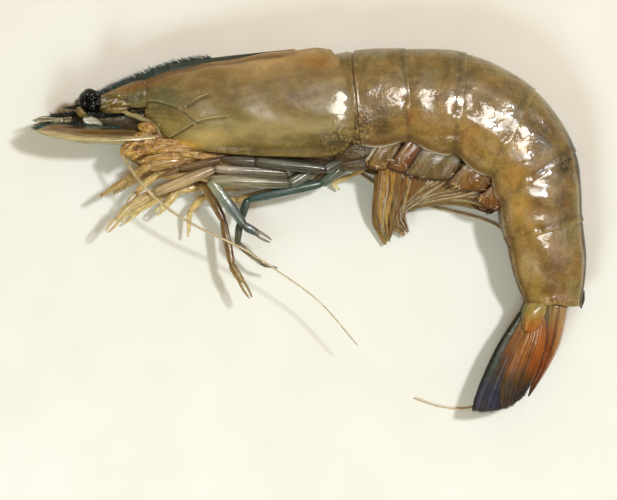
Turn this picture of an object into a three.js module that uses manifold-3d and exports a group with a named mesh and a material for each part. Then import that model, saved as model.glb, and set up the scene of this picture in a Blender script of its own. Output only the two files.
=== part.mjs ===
// A whole raw western king prawn lying on its right side, as caught, with its left side up.
// Millimetres. +Z is up from the table; seen from above, the head points along -X, the back
// of the head and trunk faces +Y, and the abdomen curls round at +X until the tail points
// towards -Y. The origin is under the middle of the animal, on the table.
import * as THREE from 'three';
import Module from 'manifold-3d';
import { mergeVertices } from 'three/addons/utils/BufferGeometryUtils.js';

const wasm = await Module();
wasm.setup();

// ---------------------------------------------------------------- driving sizes
const gap = 0.3; // clear space kept between neighbouring pieces
const table = 0; // height of the surface the animal lies on
const midline = 9.8; // height of the plane of symmetry at the trunk; the widest parts press flat
const up = new THREE.Vector3(0, 0, 1);

// Side-view landmarks of the shell, from front to rear:
// the point on the back, the point on the lower free edge, the half breadth and the
// height of the plane of symmetry there.
const carapaceStations = [
  { back: [-47.9, 41.3], edge: [-45.4, 30.3], half: 4.6, mid: midline },
  { back: [-43.8, 42.6], edge: [-41.2, 26.1], half: 6.3, mid: midline },
  { back: [-38.2, 44.2], edge: [-38.3, 23.4], half: 7.6, mid: midline },
  { back: [-30.4, 46.0], edge: [-30.4, 21.9], half: 8.8, mid: midline },
  { back: [-19.3, 47.9], edge: [-19.3, 20.6], half: 9.7, mid: midline },
  { back: [-6.8, 49.9], edge: [-6.8, 20.1], half: 10.2, mid: midline },
  { back: [1.5, 50.4], edge: [3.0, 20.1], half: 10.2, mid: midline },
  { back: [5.8, 50.1], edge: [8.6, 21.3], half: 9.9, mid: midline },
];
const rearBulge = 6.6; // how far the flanks of the carapace reach behind its back edge
const carapaceRecess = 0.22; // share of the depth that the underside is drawn up

// One station at each seam between two abdominal segments, one at the cross groove of the
// first segment and one half way along the sixth.
const abdomenStations = [
  { back: [6.2, 48.9], edge: [11.4, 23.8], half: 9.3, mid: midline },
  { back: [14.0, 50.2], edge: [18.8, 23.4], half: 9.8, mid: midline },
  { back: [26.2, 50.4], edge: [27.9, 24.4], half: 10.1, mid: midline },
  { back: [43.2, 49.2], edge: [40.7, 20.6], half: 10.1, mid: midline },
  { back: [62.4, 39.2], edge: [49.9, 14.6], half: 9.6, mid: 9.7 },
  { back: [73.9, 22.2], edge: [52.6, 7.5], half: 8.8, mid: 9.4 },
  { back: [76.0, 3.0], edge: [55.2, -3.8], half: 7.8, mid: 8.9 },
  { back: [77.1, -8.6], edge: [57.1, -11.6], half: 6.9, mid: 8.5 },
  { back: [75.8, -20.3], edge: [60.1, -20.0], half: 5.2, mid: 8.2 },
];
const segmentSpans = [[0, 2], [2, 3], [3, 4], [4, 5], [5, 6], [6, 8]]; // station to station
const pleuronDrop = [0.8, 2.0, 1.8, 1.2, 0.8, 0.2]; // how far each side plate hangs below its seams
const tileFlare = 0.03; // each segment's rear edge stands out over the next one's front edge
const abdomenRecess = 0.26;
const grooveDepth = 0.05; // of the cross groove, as a share of the section

// The ring around one section of shell: the walls run from the back to two free edges.
const wallAngle = THREE.MathUtils.degToRad(142);
const wallPower = 0.92;
const wallSteps = 9;
const undersideSteps = 6;

// The rostrum, a toothed blade that stands on the midline over the eyes.
const rostrumTop = [[-4, 50.3], [-26.2, 47.9], [-38.8, 45.8], [-51.2, 41.0], [-57.4, 37.9],
  [-62.9, 35.3], [-68.5, 34.1]];
const rostrumUnder = [[-68.5, 33.8], [-61.5, 33.2], [-55.4, 34.2], [-47.1, 35.8], [-38, 39], [-4, 46]];
const rostrumThickness = 1.5;
const toothCount = 11;
const toothHeight = 1.0;
const toothRange = [0.30, 0.90]; // where the teeth stand, as shares of the top edge

// The underside of the trunk, which carries the limbs.
const sternumStations = [
  { back: [-44.0, 26.5], edge: [-43.4, 21.6], half: 3.0, mid: midline },
  { back: [-30.0, 27.0], edge: [-30.0, 19.2], half: 3.8, mid: midline },
  { back: [-12.0, 26.4], edge: [-12.0, 17.8], half: 4.2, mid: midline },
  { back: [4.0, 26.4], edge: [4.0, 17.6], half: 4.4, mid: midline },
  { back: [11.0, 26.4], edge: [10.2, 19.0], half: 3.6, mid: midline },
];

// Eyes, feelers and scales of the left side; the right side mirrors them.
// Each stop is x, y, height over the midline and radius or half width.
const eye = { centre: [-60.8, 35.4, 5.0], radius: 3.3 };
const eyestalk = [[-46.5, 35.2, 2.3, 1.7], [-52.5, 35.6, 3.6, 1.5], [-58.0, 35.4, 4.7, 2.0]];
const antennule = [[-45.5, 31.6, 1.9, 1.5], [-56.0, 30.4, 1.9, 1.5], [-64.5, 30.7, 1.8, 1.2],
  [-71.0, 30.3, 1.9, 0.9]];
const antennuleFlagella = [
  [[-70.3, 30.5, 2.1, 0.6], [-74.0, 30.7, 2.6, 0.5], [-76.84, 29.7, 2.8, 0.3]],
  [[-70.3, 30.0, 1.6, 0.6], [-73.0, 29.0, 1.2, 0.5], [-76.0, 28.0, 1.0, 0.3]],
];
const scale = {
  stops: [[-42.5, 26.4, 5.0, 2.4], [-54.0, 26.2, 5.6, 3.6], [-64.0, 26.8, 5.6, 3.9],
    [-71.5, 27.6, 5.2, 3.0], [-75.2, 27.4, 5.0, 0.7]],
  flat: 0.16,
  facing: [0, 0.84, 0.54],
};
const antennaBase = [[-40.0, 25.2, 4.3, 1.8], [-46.0, 23.2, 5.0, 2.5], [-51.6, 21.4, 5.6, 1.7]];

// The two long whips, in table heights. The left one reaches over the legs and stays clear
// of the table; the right one runs on the table under the body and comes out twice.
const whipLeft = [
  [-51.8, 20.9, 15.2, 0.65], [-47.1, 13.9, 16.4, 0.6], [-40.1, 6.7, 16.8, 0.55], [-30.4, 0.6, 16.8, 0.5],
  [-19.3, -4.7, 16.4, 0.45], [-8.2, -11.7, 15.6, 0.35], [2.9, -20.0, 14.6, 0.3], [13.5, -32.2, 13.2, 0.25],
];
const whipRight = [
  [-51.8, 20.9, 4.2, 0.65], [-44.0, 16.0, 1.4, 0.6], [-30.0, 14.6, 0.65, 0.55], [-10.0, 17.0, 0.6, 0.5],
  [9.9, 17.8, 0.55, 0.5], [18.2, 13.3, 0.5, 0.45], [32.4, 7.2, 0.5, 0.4], [52.9, 1.1, 0.45, 0.4],
  [63.5, -8.9, 0.42, 0.35], [63.5, -26.0, 0.4, 0.35], [55.5, -43.0, 0.36, 0.3], [46.0, -49.8, 0.34, 0.3],
  [37.6, -49.8, 0.32, 0.27], [29.3, -47.2, 0.3, 0.25],
];

// Walking legs and third maxillipeds, in table heights: each joint's x, y, z and radius,
// from the body to the tip. A claw ends in two fingers.
const limbs = {
  maxilliped_left: {
    joints: [
      [-24.5, 21.5, 11.6, 1.2], [-36.0, 19.2, 13.2, 1.25], [-43.8, 18.0, 13.9, 1.1],
      [-50.4, 13.9, 13.0, 0.95], [-57.9, 9.4, 11.4, 0.35],
    ],
  },
  maxilliped_right: {
    joints: [
      [-25.0, 21.0, 7.6, 1.2], [-36.0, 18.4, 6.4, 1.25], [-43.8, 17.0, 5.4, 1.1],
      [-49.3, 13.8, 4.8, 0.9], [-54.9, 10.4, 4.0, 0.3],
    ],
  },
  leg_1_left: {
    claw: true,
    joints: [
      [-15.0, 18.8, 9.7, 1.3], [-18.2, 12.8, 9.9, 1.2], [-31.0, 15.0, 10.6, 1.1],
      [-42.0, 15.2, 10.8, 0.9], [-45.3, 13.2, 10.8, 0.95], [-50.8, 7.1, 10.2, 0.7],
    ],
  },
  leg_1_right: {
    claw: true,
    joints: [
      [-16.0, 18.6, 7.3, 1.2], [-20.4, 12.0, 4.7, 1.1], [-31.0, 12.2, 5.0, 1.05],
      [-36.8, 11.0, 6.4, 0.95], [-39.6, 7.6, 7.0, 1.0], [-42.9, 4.4, 7.2, 0.9],
    ],
  },
  leg_2_left: {
    claw: true,
    joints: [
      [-3.0, 18.2, 10.6, 1.3], [-6.4, 15.8, 12.0, 1.3], [-26.2, 16.9, 13.5, 1.4],
      [-43.0, 10.2, 14.2, 1.1], [-49.9, 6.4, 13.4, 1.1], [-56.2, -0.6, 12.2, 0.9],
    ],
  },
  leg_2_right: {
    claw: true,
    joints: [
      [-3.0, 18.2, 6.4, 1.3], [-8.0, 16.0, 3.4, 1.3], [-27.1, 15.6, 3.0, 1.3],
      [-41.5, 9.6, 3.4, 1.0], [-47.3, 6.4, 2.9, 1.0], [-52.6, 2.0, 2.3, 0.9],
    ],
  },
  leg_3_left: {
    claw: true,
    joints: [
      [2.4, 17.2, 10.2, 1.3], [-5.4, 12.9, 12.4, 1.4], [-27.4, 13.8, 14.0, 1.5],
      [-18.0, 1.2, 12.4, 1.05], [-10.6, -3.2, 11.2, 0.9],
    ],
  },
  leg_3_right: {
    claw: true,
    joints: [
      [1.0, 17.7, 8.2, 1.3], [-6.0, 13.4, 7.5, 1.2], [-29.2, 12.7, 7.5, 1.15],
      [-24.0, 2.6, 8.4, 1.0], [-21.6, -9.6, 10.0, 0.95], [-16.2, -18.9, 11.6, 0.9],
    ],
  },
  leg_4_left: {
    joints: [
      [8.4, 18.8, 12.6, 1.2], [4.4, 16.8, 14.4, 1.3], [-15.0, 18.9, 14.5, 1.35],
      [-24.4, 19.4, 14.6, 0.9], [-36.0, 16.9, 14.7, 0.7], [-41.0, 14.9, 14.4, 0.25],
    ],
  },
  leg_4_right: {
    joints: [
      [6.0, 18.4, 7.2, 1.2], [1.6, 13.4, 4.2, 1.1], [-20.7, 8.4, 3.6, 1.0],
      [-29.6, 9.4, 5.4, 0.95], [-33.4, 5.4, 5.4, 0.75], [-34.0, -1.7, 4.6, 0.22],
    ],
  },
  leg_5_left: {
    joints: [
      [9.6, 17.6, 10.0, 1.2], [3.5, 13.0, 10.0, 1.3], [-17.2, 8.4, 10.2, 1.0],
      [-19.3, 2.2, 9.2, 0.85], [-20.1, -3.6, 8.8, 0.8], [-13.2, -9.6, 9.0, 0.45],
      [-9.0, -10.6, 9.4, 0.2],
    ],
  },
  leg_5_right: {
    joints: [
      [9.2, 18.6, 7.6, 1.2], [15.4, 17.6, 5.6, 0.9], [12.0, 15.4, 3.4, 0.6], [6.4, 13.2, 2.4, 0.5],
      [8.4, 11.4, 2.0, 0.3],
    ],
  },
};
const limbSides = 5;
const waist = 0.62; // how far a limb narrows at its joints

// Swimmerets of the left side: the stem, then the outer and the inner blade, with heights
// over the midline. The right side mirrors them, a little forward and down. sag is the share
// of its height over the table that a limp blade has lost at its tip, left and right.
const swimmerets = [
  {
    sag: [0.75, 0.92],
    stem: [[25.2, 29.0, 3.0, 2.0], [24.0, 22.0, 4.2, 2.5], [21.9, 16.6, 4.6, 1.9]],
    outer: [[22.0, 17.4, 4.6, 1.6], [19.4, 7.6, 3.9, 2.6], [22.4, -2.8, 0.9, 0.7]],
    inner: [[22.9, 16.6, 3.4, 1.4], [24.3, 9.0, 1.2, 1.7], [24.4, 1.2, 0.3, 0.5]],
  },
  {
    sag: [0.5, 0.85],
    stem: [[32.6, 28.6, 3.0, 2.0], [31.6, 20.6, 4.2, 2.7], [29.0, 14.8, 4.4, 1.9]],
    outer: [[29.2, 15.6, 4.4, 1.6], [26.9, 7.4, 3.4, 1.8], [27.9, -0.3, 0.6, 0.5]],
    inner: [[30.6, 15.0, 3.0, 1.3], [28.9, 10.0, 1.9, 1.5], [27.9, 6.8, 0.6, 0.5]],
  },
  {
    sag: [0.3, 0.15],
    stem: [[40.4, 25.4, 3.0, 2.0], [38.6, 18.4, 4.2, 2.8], [36.6, 13.6, 4.3, 1.9]],
    outer: [[37.0, 14.0, 4.2, 1.5], [31.9, 10.2, 2.6, 1.8], [26.6, 5.2, 1.2, 0.5]],
    inner: [[37.4, 12.8, 2.7, 1.2], [33.4, 9.6, 1.9, 1.4], [30.0, 6.8, 0.6, 0.5]],
  },
  {
    sag: [0.2, 0.2],
    stem: [[47.6, 20.6, 3.0, 1.9], [45.2, 15.4, 4.0, 2.5], [42.6, 10.8, 3.9, 1.8]],
    outer: [[43.2, 10.8, 3.4, 1.3], [37.2, 7.6, 1.8, 1.4], [32.0, 5.4, 0.7, 0.4]],
    inner: [[43.6, 10.0, 2.3, 1.2], [40.0, 7.4, 0.9, 1.1], [36.8, 5.8, 0.2, 0.4]],
  },
  {
    sag: [0.1, 0.1],
    stem: [[54.2, 11.6, 2.8, 1.7], [51.6, 9.2, 3.5, 2.1], [48.6, 6.9, 3.4, 1.5]],
    outer: [[49.2, 7.4, 3.1, 1.2], [44.6, 7.2, 2.3, 1.3], [40.2, 8.0, 0.9, 0.4]],
    inner: [[49.2, 6.2, 1.9, 1.0], [46.0, 5.9, 1.2, 1.0], [43.0, 6.2, 0.3, 0.4]],
  },
];
const bladeFlat = 0.34;
const rightShift = { x: -1.0, y: -0.9 };

// The tail fan: the telson on the midline, and on each side a stem that carries an inner
// and an outer blade. Heights are over the tail's own midline.
const tailMid = 7.9;
const telson = {
  flat: 1.15,
  stops: [
    [68.6, -20.9, 0, 3.6], [67.5, -30.6, -0.2, 2.5], [65.3, -37.0, -0.4, 1.7], [62.6, -43.0, -0.6, 0.8],
    [61.0, -46.4, -0.8, 0.15],
  ],
};
const fanStem = [[63.8, -20.6, 3.3, 2.0], [62.4, -23.4, 3.7, 2.3], [60.6, -26.2, 4.0, 1.7]];
const innerBlade = {
  flat: 0.16,
  stops: [
    [63.6, -25.2, 2.3, 1.6], [62.4, -31.6, 2.2, 3.4], [60.0, -38.6, 1.9, 3.7], [58.0, -44.6, 1.5, 2.6],
    [57.0, -48.2, 1.2, 0.7],
  ],
};
const outerBlade = {
  flat: 0.15,
  stops: [
    [59.6, -23.4, 4.4, 1.5], [56.4, -30.0, 4.4, 3.6], [53.2, -37.6, 4.0, 4.4],
    [50.6, -44.8, 3.3, 4.6], [49.2, -50.0, 2.6, 2.6],
  ],
};

// ---------------------------------------------------------------- colours
const finish = (color, roughness) => new THREE.MeshStandardMaterial({ color, roughness, metalness: 0 });
const shellBrown = finish('#8f7d5c', 0.3);
const shellOlive = finish('#86724a', 0.28);
const limbTan = finish('#a98c5c', 0.35);
const limbBlue = finish('#5f6b66', 0.32);
const underBrown = finish('#5e4226', 0.4);
const eyeBlack = finish('#0d0c0a', 0.12);
const scaleBuff = finish('#a89468', 0.35);
const whipTan = finish('#b49a66', 0.4);
const bladeAmber = finish('#8a6a3c', 0.35);
const fanOrange = finish('#a4612a', 0.3);
const fanIndigo = finish('#3d3744', 0.3);

// ---------------------------------------------------------------- making solids
/** The closed solid of a BufferGeometry, turned so that its faces point out. */
function solidOf(geometry) {
  const bare = geometry.clone();
  bare.deleteAttribute('normal');
  bare.deleteAttribute('uv');
  const merged = mergeVertices(bare, 1e-4);
  const vertProperties = new Float32Array(merged.attributes.position.array);
  const triVerts = new Uint32Array(merged.index.array);
  const made = new wasm.Manifold(new wasm.Mesh({ numProp: 3, vertProperties, triVerts }));
  if (made.volume() > 0) return made;
  return new wasm.Manifold(new wasm.Mesh({ numProp: 3, vertProperties, triVerts: triVerts.reverse() }));
}

/** The mesh of a solid, ready for the group. */
function meshOf(name, solid, material) {
  const { numProp, vertProperties, triVerts } = solid.getMesh();
  const position = new Float32Array((vertProperties.length / numProp) * 3);
  for (let i = 0; i * 3 < position.length; i++) {
    position.set(vertProperties.subarray(i * numProp, i * numProp + 3), i * 3);
  }
  const geometry = new THREE.BufferGeometry();
  geometry.setAttribute('position', new THREE.BufferAttribute(position, 3));
  geometry.setIndex(new THREE.BufferAttribute(new Uint32Array(triVerts), 1));
  geometry.computeVertexNormals();
  const mesh = new THREE.Mesh(geometry, material);
  mesh.name = name;
  return mesh;
}

const joined = (solids) => solids.reduce((whole, next) => whole.add(next));

/** What the cutters leave of a solid, without any crumbs. */
function cutBy(solid, cutters) {
  const left = cutters.reduce((rest, cutter) => rest.subtract(cutter), solid);
  return left.decompose().sort((a, b) => b.volume() - a.volume())[0];
}

/** A closed solid through rings of one outline. place puts an outline point at t along it. */
function loft(outline, rings, place, cap = THREE.ShapeUtils.triangulateShape(outline, [])) {
  const corners = [];
  for (let i = 0; i <= rings; i++) {
    for (const point of outline) {
      const at = place(point, i / rings);
      corners.push(at.x, at.y, Math.max(at.z, table));
    }
  }
  const count = outline.length;
  const faces = [];
  for (let i = 0; i < rings; i++) {
    for (let j = 0; j < count; j++) {
      const [a, b] = [i * count + j, i * count + ((j + 1) % count)];
      faces.push(a, b, a + count, b, b + count, a + count);
    }
  }
  const last = rings * count;
  for (const [a, b, c] of cap) faces.push(c, b, a, last + a, last + b, last + c);
  const geometry = new THREE.BufferGeometry();
  geometry.setAttribute('position', new THREE.Float32BufferAttribute(corners, 3));
  geometry.setIndex(faces);
  return solidOf(geometry);
}

/** The corners of a regular polygon of radius 1. */
function ringOf(sides) {
  const circle = new THREE.Shape().absarc(0, 0, 1, 0, 2 * Math.PI);
  return circle.getSpacedPoints(sides).slice(0, sides);
}

/** A tapering solid along stops of x, y, z and radius; flat is its thickness over its width. */
function sweep(stops, { rings = 6, sides = 8, flat = 1, facing = up, grow = 0 } = {}) {
  const curve = new THREE.CatmullRomCurve3(stops.map(([x, y, z]) => new THREE.Vector3(x, y, z)));
  const start = curve.getTangent(0).multiplyScalar(-grow);
  const end = curve.getTangent(1).multiplyScalar(grow);
  return loft(ringOf(sides), rings, (point, t) => {
    const along = curve.getTangent(t);
    const wide = new THREE.Vector3().crossVectors(along, facing).normalize();
    const thin = new THREE.Vector3().crossVectors(wide, along);
    const step = Math.min(Math.floor(t * (stops.length - 1)), stops.length - 2);
    const radius = THREE.MathUtils.lerp(stops[step][3], stops[step + 1][3], t * (stops.length - 1) - step);
    const at = curve.getPoint(t);
    if (t === 0) at.add(start);
    if (t === 1) at.add(end);
    return at
      .addScaledVector(wide, point.x * (radius + grow))
      .addScaledVector(thin, point.y * (radius * flat + grow));
  });
}

/** Stops given by their height over the plane of symmetry, put on the left (1) or right (-1). */
const sided = (stops, side, mid = midline) => stops.map(([x, y, z, r]) => [x, y, mid + side * z, r]);

// ---------------------------------------------------------------- the shell
/** The outline of one section: x runs across and y from the free edges (-1) to the back (1). */
function shellOutline(recess) {
  const points = [];
  for (let i = wallSteps; i >= -wallSteps; i--) {
    const angle = (i / wallSteps) * wallAngle;
    const across = Math.sign(i) * Math.abs(Math.sin(angle)) ** wallPower;
    points.push(new THREE.Vector2(across, 1 - (2 * (1 - Math.cos(angle))) / (1 - Math.cos(wallAngle))));
  }
  const edge = points[0].x;
  for (let i = 1; i < undersideSteps; i++) {
    const share = i / undersideSteps;
    const roof = 2 * recess * Math.sin(Math.PI * share) ** 0.6;
    points.push(new THREE.Vector2(edge * (2 * share - 1), roof - 1));
  }
  points.forEach((point, i) => {
    const [before, after] = [points.at(i - 1), points[(i + 1) % points.length]];
    point.out = new THREE.Vector2(1.5 * (after.y - before.y), before.x - after.x).normalize();
  });
  return points;
}

/** The faces that close such a ring: bands from wall to wall, and one strip down each side plate. */
function shellCap() {
  const [top, count] = [2 * wallSteps, 2 * wallSteps + undersideSteps];
  const hips = undersideSteps / 2;
  const faces = [[hips, top - hips, count - hips]];
  const mirrored = ([a, b, c]) => [c, b, a].map((i) => (top - i + count) % count);
  for (let i = 0; i < hips; i++) {
    const strip = [[i, i + 1, count - 1 - i], [(count - i) % count, i, count - 1 - i]].slice(0, i ? 2 : 1);
    strip.forEach((face) => faces.push(face, mirrored(face)));
  }
  for (let i = hips; i < wallSteps - 1; i++) faces.push([i, i + 1, top - i - 1], [i, top - i - 1, top - i]);
  faces.push([wallSteps - 1, wallSteps, wallSteps + 1]);
  return faces;
}

/** The smooth run through a list of stations: at(t) gives the back, the edge and the breadth. */
function runThrough(stations) {
  const curveOf = (pick) => new THREE.CatmullRomCurve3(stations.map((s) => new THREE.Vector3(...pick(s))));
  const back = curveOf((s) => [...s.back, s.mid]);
  const edge = curveOf((s) => [...s.edge, s.mid]);
  const half = curveOf((s) => [s.half, 0, 0]);
  return (t) => ({ back: back.getPoint(t), edge: edge.getPoint(t), half: half.getPoint(t).x });
}

/** A point on a section, from its outline point and the section's back, edge and breadth. */
function onSection({ back, edge, half }, point, size, grow) {
  const rise = back.clone().sub(edge);
  const middle = edge.clone().addScaledVector(rise, 0.5);
  const reach = (rise.length() / 2) * size;
  const out = point.out ?? point;
  return middle
    .addScaledVector(rise.normalize(), point.y * reach + out.y * grow)
    .addScaledVector(up, point.x * half * size + out.x * grow);
}

function carapaceLoft(grow = 0) {
  const run = runThrough(carapaceStations);
  return loft(shellOutline(carapaceRecess), 14, (point, t) => {
    const at = onSection(run(t), point, 1, grow);
    const rear = THREE.MathUtils.smoothstep(t, 0.6, 1);
    at.x += rear * rearBulge * Math.max(0, 1 - ((point.y + 0.05) / 1.05) ** 2);
    if (t === 0) at.x -= grow;
    if (t === 1) at.x += grow;
    return at;
  }, shellCap());
}

/** The rostrum's side outline: a smooth top edge cut into forward teeth, and a smooth lower edge. */
function rostrumBlade() {
  const spline = (list) => new THREE.SplineCurve(list.map(([x, y]) => new THREE.Vector2(x, y)));
  const top = spline(rostrumTop);
  const outline = [top.getPoint(0)];
  const [first, last] = toothRange;
  const pitch = (last - first) / toothCount;
  for (let i = 0; i < toothCount; i++) {
    const root = first + i * pitch;
    const tip = top.getPoint(root + pitch * 0.75);
    const foot = top.getPoint(root + pitch * 0.8);
    outline.push(top.getPoint(root), new THREE.Vector2(tip.x, tip.y + toothHeight), foot);
  }
  outline.push(top.getPoint(last), top.getPoint(1), ...spline(rostrumUnder).getPoints(10));
  const blade = new THREE.ExtrudeGeometry(new THREE.Shape(outline), { depth: 1, bevelEnabled: false });
  const [tipX] = rostrumTop.at(-1);
  const [rootX] = rostrumTop[0];
  const corners = blade.attributes.position;
  for (let i = 0; i < corners.count; i++) {
    const share = (corners.getX(i) - tipX) / (rootX - tipX);
    const thickness = rostrumThickness * THREE.MathUtils.clamp(0.3 + 2 * share, 0.3, 1);
    corners.setZ(i, midline + (corners.getZ(i) - 0.5) * thickness);
  }
  return solidOf(blade);
}

/** One abdominal segment, between two seams, as a tile that flares at its rear edge. */
function abdomenSegment(index, grow = 0) {
  const run = runThrough(abdomenStations);
  const [from, to] = segmentSpans[index].map((station) => station / (abdomenStations.length - 1));
  const [front, rear] = [from, to].map((t) => {
    const { back, edge } = run(t);
    return new THREE.Vector3().crossVectors(back.clone().sub(edge), up).normalize();
  });
  return loft(shellOutline(abdomenRecess), index ? 5 : 7, (point, t) => {
    const section = run(THREE.MathUtils.lerp(from, to, t));
    const down = section.edge.clone().sub(section.back).normalize();
    section.edge.addScaledVector(down, pleuronDrop[index] * Math.sin(Math.PI * t));
    const groove = index ? 0 : grooveDepth * Math.exp(-(((t - 0.5) / 0.1) ** 2));
    const tuck = index ? 0.6 * tileFlare * (1 - t) ** 2 : 0;
    const size = 1 + tileFlare * (t - 0.7) - tuck - groove * Math.max(0, point.y);
    const at = onSection(section, point, size, grow);
    if (t === 0) at.addScaledVector(front, gap / 2 - grow);
    if (t === 1) at.addScaledVector(rear, grow - gap / 2);
    return at;
  }, shellCap());
}

function sternum(grow = 0) {
  const run = runThrough(sternumStations);
  return loft(ringOf(12), 8, (point, t) => {
    const at = onSection(run(t), { x: point.x, y: point.y }, 1, grow);
    if (t === 0) at.x -= grow;
    if (t === 1) at.x += grow;
    return at;
  });
}

// ---------------------------------------------------------------- limbs and blades
/** One piece of a limb between two joints: it narrows at both and is fullest near its root. */
function limbPiece(from, to, grow) {
  const along = new THREE.Vector3(...to).sub(new THREE.Vector3(...from)); // x, y, z only
  const overlap = 0.35 * Math.min(from[3], to[3]);
  const length = along.length();
  const stop = (share, push, factor) => {
    const radius = THREE.MathUtils.lerp(from[3], to[3], share) * factor;
    return [...new THREE.Vector3(...from).addScaledVector(along, share + push / length).toArray(), radius];
  };
  const stops = [stop(0, -overlap, waist), stop(0.2, 0, 1), stop(0.82, 0, 1), stop(1, overlap, waist)];
  return sweep(stops, { rings: 3, sides: limbSides, grow });
}

/** A claw: a palm, then two slim fingers that part towards their tips. */
function claw(from, to, grow) {
  const [a, b] = [from, to].map(([x, y, z]) => new THREE.Vector3(x, y, z));
  const along = b.clone().sub(a);
  const aside = new THREE.Vector3().crossVectors(along, up).normalize();
  const palmEnd = [...a.clone().addScaledVector(along, 0.5).toArray(), to[3]];
  const finger = (side) => {
    const stop = (share, offset, radius) => {
      const at = a.clone().addScaledVector(along, share).addScaledVector(aside, side * offset * to[3]);
      return [...at.toArray(), radius * to[3]];
    };
    const stops = [stop(0.46, 0.5, 0.5), stop(0.75, 0.75, 0.42), stop(1, 0.5, 0.18)];
    return sweep(stops, { rings: 2, sides: 5, grow });
  };
  return joined([limbPiece(from, palmEnd, grow), finger(1), finger(-1)]);
}

function limb({ joints, claw: clawed = false }, grow = 0) {
  const pieces = joints.slice(1).map((joint, i) => {
    const last = i === joints.length - 2;
    return clawed && last ? claw(joints[i], joint, grow) : limbPiece(joints[i], joint, grow);
  });
  return joined(pieces);
}

function swimmeret({ stem, outer, inner, sag }, side, grow = 0) {
  const shift = ([x, y, z, r]) => (side > 0 ? [x, y, z, r] : [x + rightShift.x, y + rightShift.y, z, r]);
  const lost = side > 0 ? sag[0] : sag[1];
  const hang = ([x, y, z, r], i) => [x, y, z * (1 - lost * (i / 2) ** 1.5), r];
  const part = (stops, flat) => sweep(stops, { rings: 3, sides: 8, flat, grow });
  const blade = (stops) => part(sided(stops.map(shift), side).map(hang), bladeFlat);
  return joined([part(sided(stem.map(shift), side), 0.5), blade(outer), blade(inner)]);
}

// ---------------------------------------------------------------- the animal
const sides = { left: 1, right: -1 };
const prawn = new THREE.Group();
const add = (name, solid, material) => prawn.add(meshOf(name, solid, material));

const carapace = joined([carapaceLoft(), rostrumBlade()]);
add('carapace', carapace, shellBrown);
const carapaceRoom = joined([carapaceLoft(gap), rostrumBlade()]);
add('sternum', cutBy(sternum(), [carapaceRoom]), underBrown);
const trunkRooms = [carapaceRoom, sternum(gap)];

const segmentRooms = [];
segmentSpans.forEach((span, index) => {
  const neighbours = index === 0 ? trunkRooms : [];
  add(`abdomen_${index + 1}`, cutBy(abdomenSegment(index), neighbours), shellOlive);
  segmentRooms.push(abdomenSegment(index, gap));
});

for (const [sideName, side] of Object.entries(sides)) {
  const [ex, ey, ez] = eye.centre;
  const ball = (grow) => {
    const globe = new THREE.SphereGeometry(eye.radius + grow, 12, 7);
    return solidOf(globe.translate(ex, ey, midline + side * ez));
  };
  add(`eye_${sideName}`, ball(0), eyeBlack);
  const eyeStem = sweep(sided(eyestalk, side), { rings: 3, sides: 7 });
  add(`eyestalk_${sideName}`, cutBy(eyeStem, [ball(gap), ...trunkRooms]), shellOlive);

  const scaleFacing = new THREE.Vector3(scale.facing[0], scale.facing[1], side * scale.facing[2]);
  const scaleShape = { rings: 8, sides: 8, flat: scale.flat, facing: scaleFacing };
  const scaleBlade = (grow) => sweep(sided(scale.stops, side), { ...scaleShape, grow });
  add(`antennal_scale_${sideName}`, cutBy(scaleBlade(0), trunkRooms), scaleBuff);

  const stalk = sweep(sided(antennule, side), { rings: 4 });
  const feelers = antennuleFlagella.map((stops) => sweep(sided(stops, side), { rings: 2, sides: 5 }));
  const besideScale = [scaleBlade(gap), ...trunkRooms];
  add(`antennule_${sideName}`, cutBy(joined([stalk, ...feelers]), [ball(gap), ...besideScale]), scaleBuff);

  const base = (grow) => sweep(sided(antennaBase, side), { rings: 4, sides: 7, grow });
  add(`antenna_base_${sideName}`, cutBy(base(0), besideScale), limbTan);
  const whip = sweep(side > 0 ? whipLeft : whipRight, { rings: side > 0 ? 24 : 40, sides: 5 });
  add(`antenna_${sideName}`, cutBy(whip, [base(gap)]), whipTan);
}

const blueLimbs = ['leg_3_left', 'leg_5_left', 'leg_4_left'];
for (const [name, shape] of Object.entries(limbs)) {
  const colour = blueLimbs.includes(name) ? limbBlue : limbTan;
  add(name, cutBy(limb(shape), [...trunkRooms, segmentRooms[0]]), colour);
}

swimmerets.forEach((shape, index) => {
  const rooms = [segmentRooms[index], segmentRooms[index + 1]];
  for (const [sideName, side] of Object.entries(sides)) {
    add(`swimmeret_${index + 1}_${sideName}`, cutBy(swimmeret(shape, side), rooms), bladeAmber);
  }
});

const lastRoom = segmentRooms.at(-1);
const telsonShape = { rings: 8, sides: 10, flat: telson.flat };
const telsonSolid = (grow) => sweep(sided(telson.stops, 1, tailMid), { ...telsonShape, grow });
add('telson', cutBy(telsonSolid(0), [lastRoom]), fanOrange);
for (const [sideName, side] of Object.entries(sides)) {
  const fanPiece = ({ stops, flat }, grow = 0) => {
    return sweep(sided(stops, side, tailMid), { rings: 9, sides: 8, flat, grow });
  };
  const stem = (grow) => sweep(sided(fanStem, side, tailMid), { rings: 4, grow });
  add(`fan_stem_${sideName}`, cutBy(stem(0), [lastRoom, telsonSolid(gap)]), bladeAmber);
  const inner = cutBy(fanPiece(innerBlade), [stem(gap), telsonSolid(gap), lastRoom]);
  add(`fan_inner_${sideName}`, inner, fanOrange);
  const outer = cutBy(fanPiece(outerBlade), [stem(gap), fanPiece(innerBlade, gap), lastRoom]);
  add(`fan_outer_${sideName}`, outer, fanIndigo);
}

export default prawn;
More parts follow.
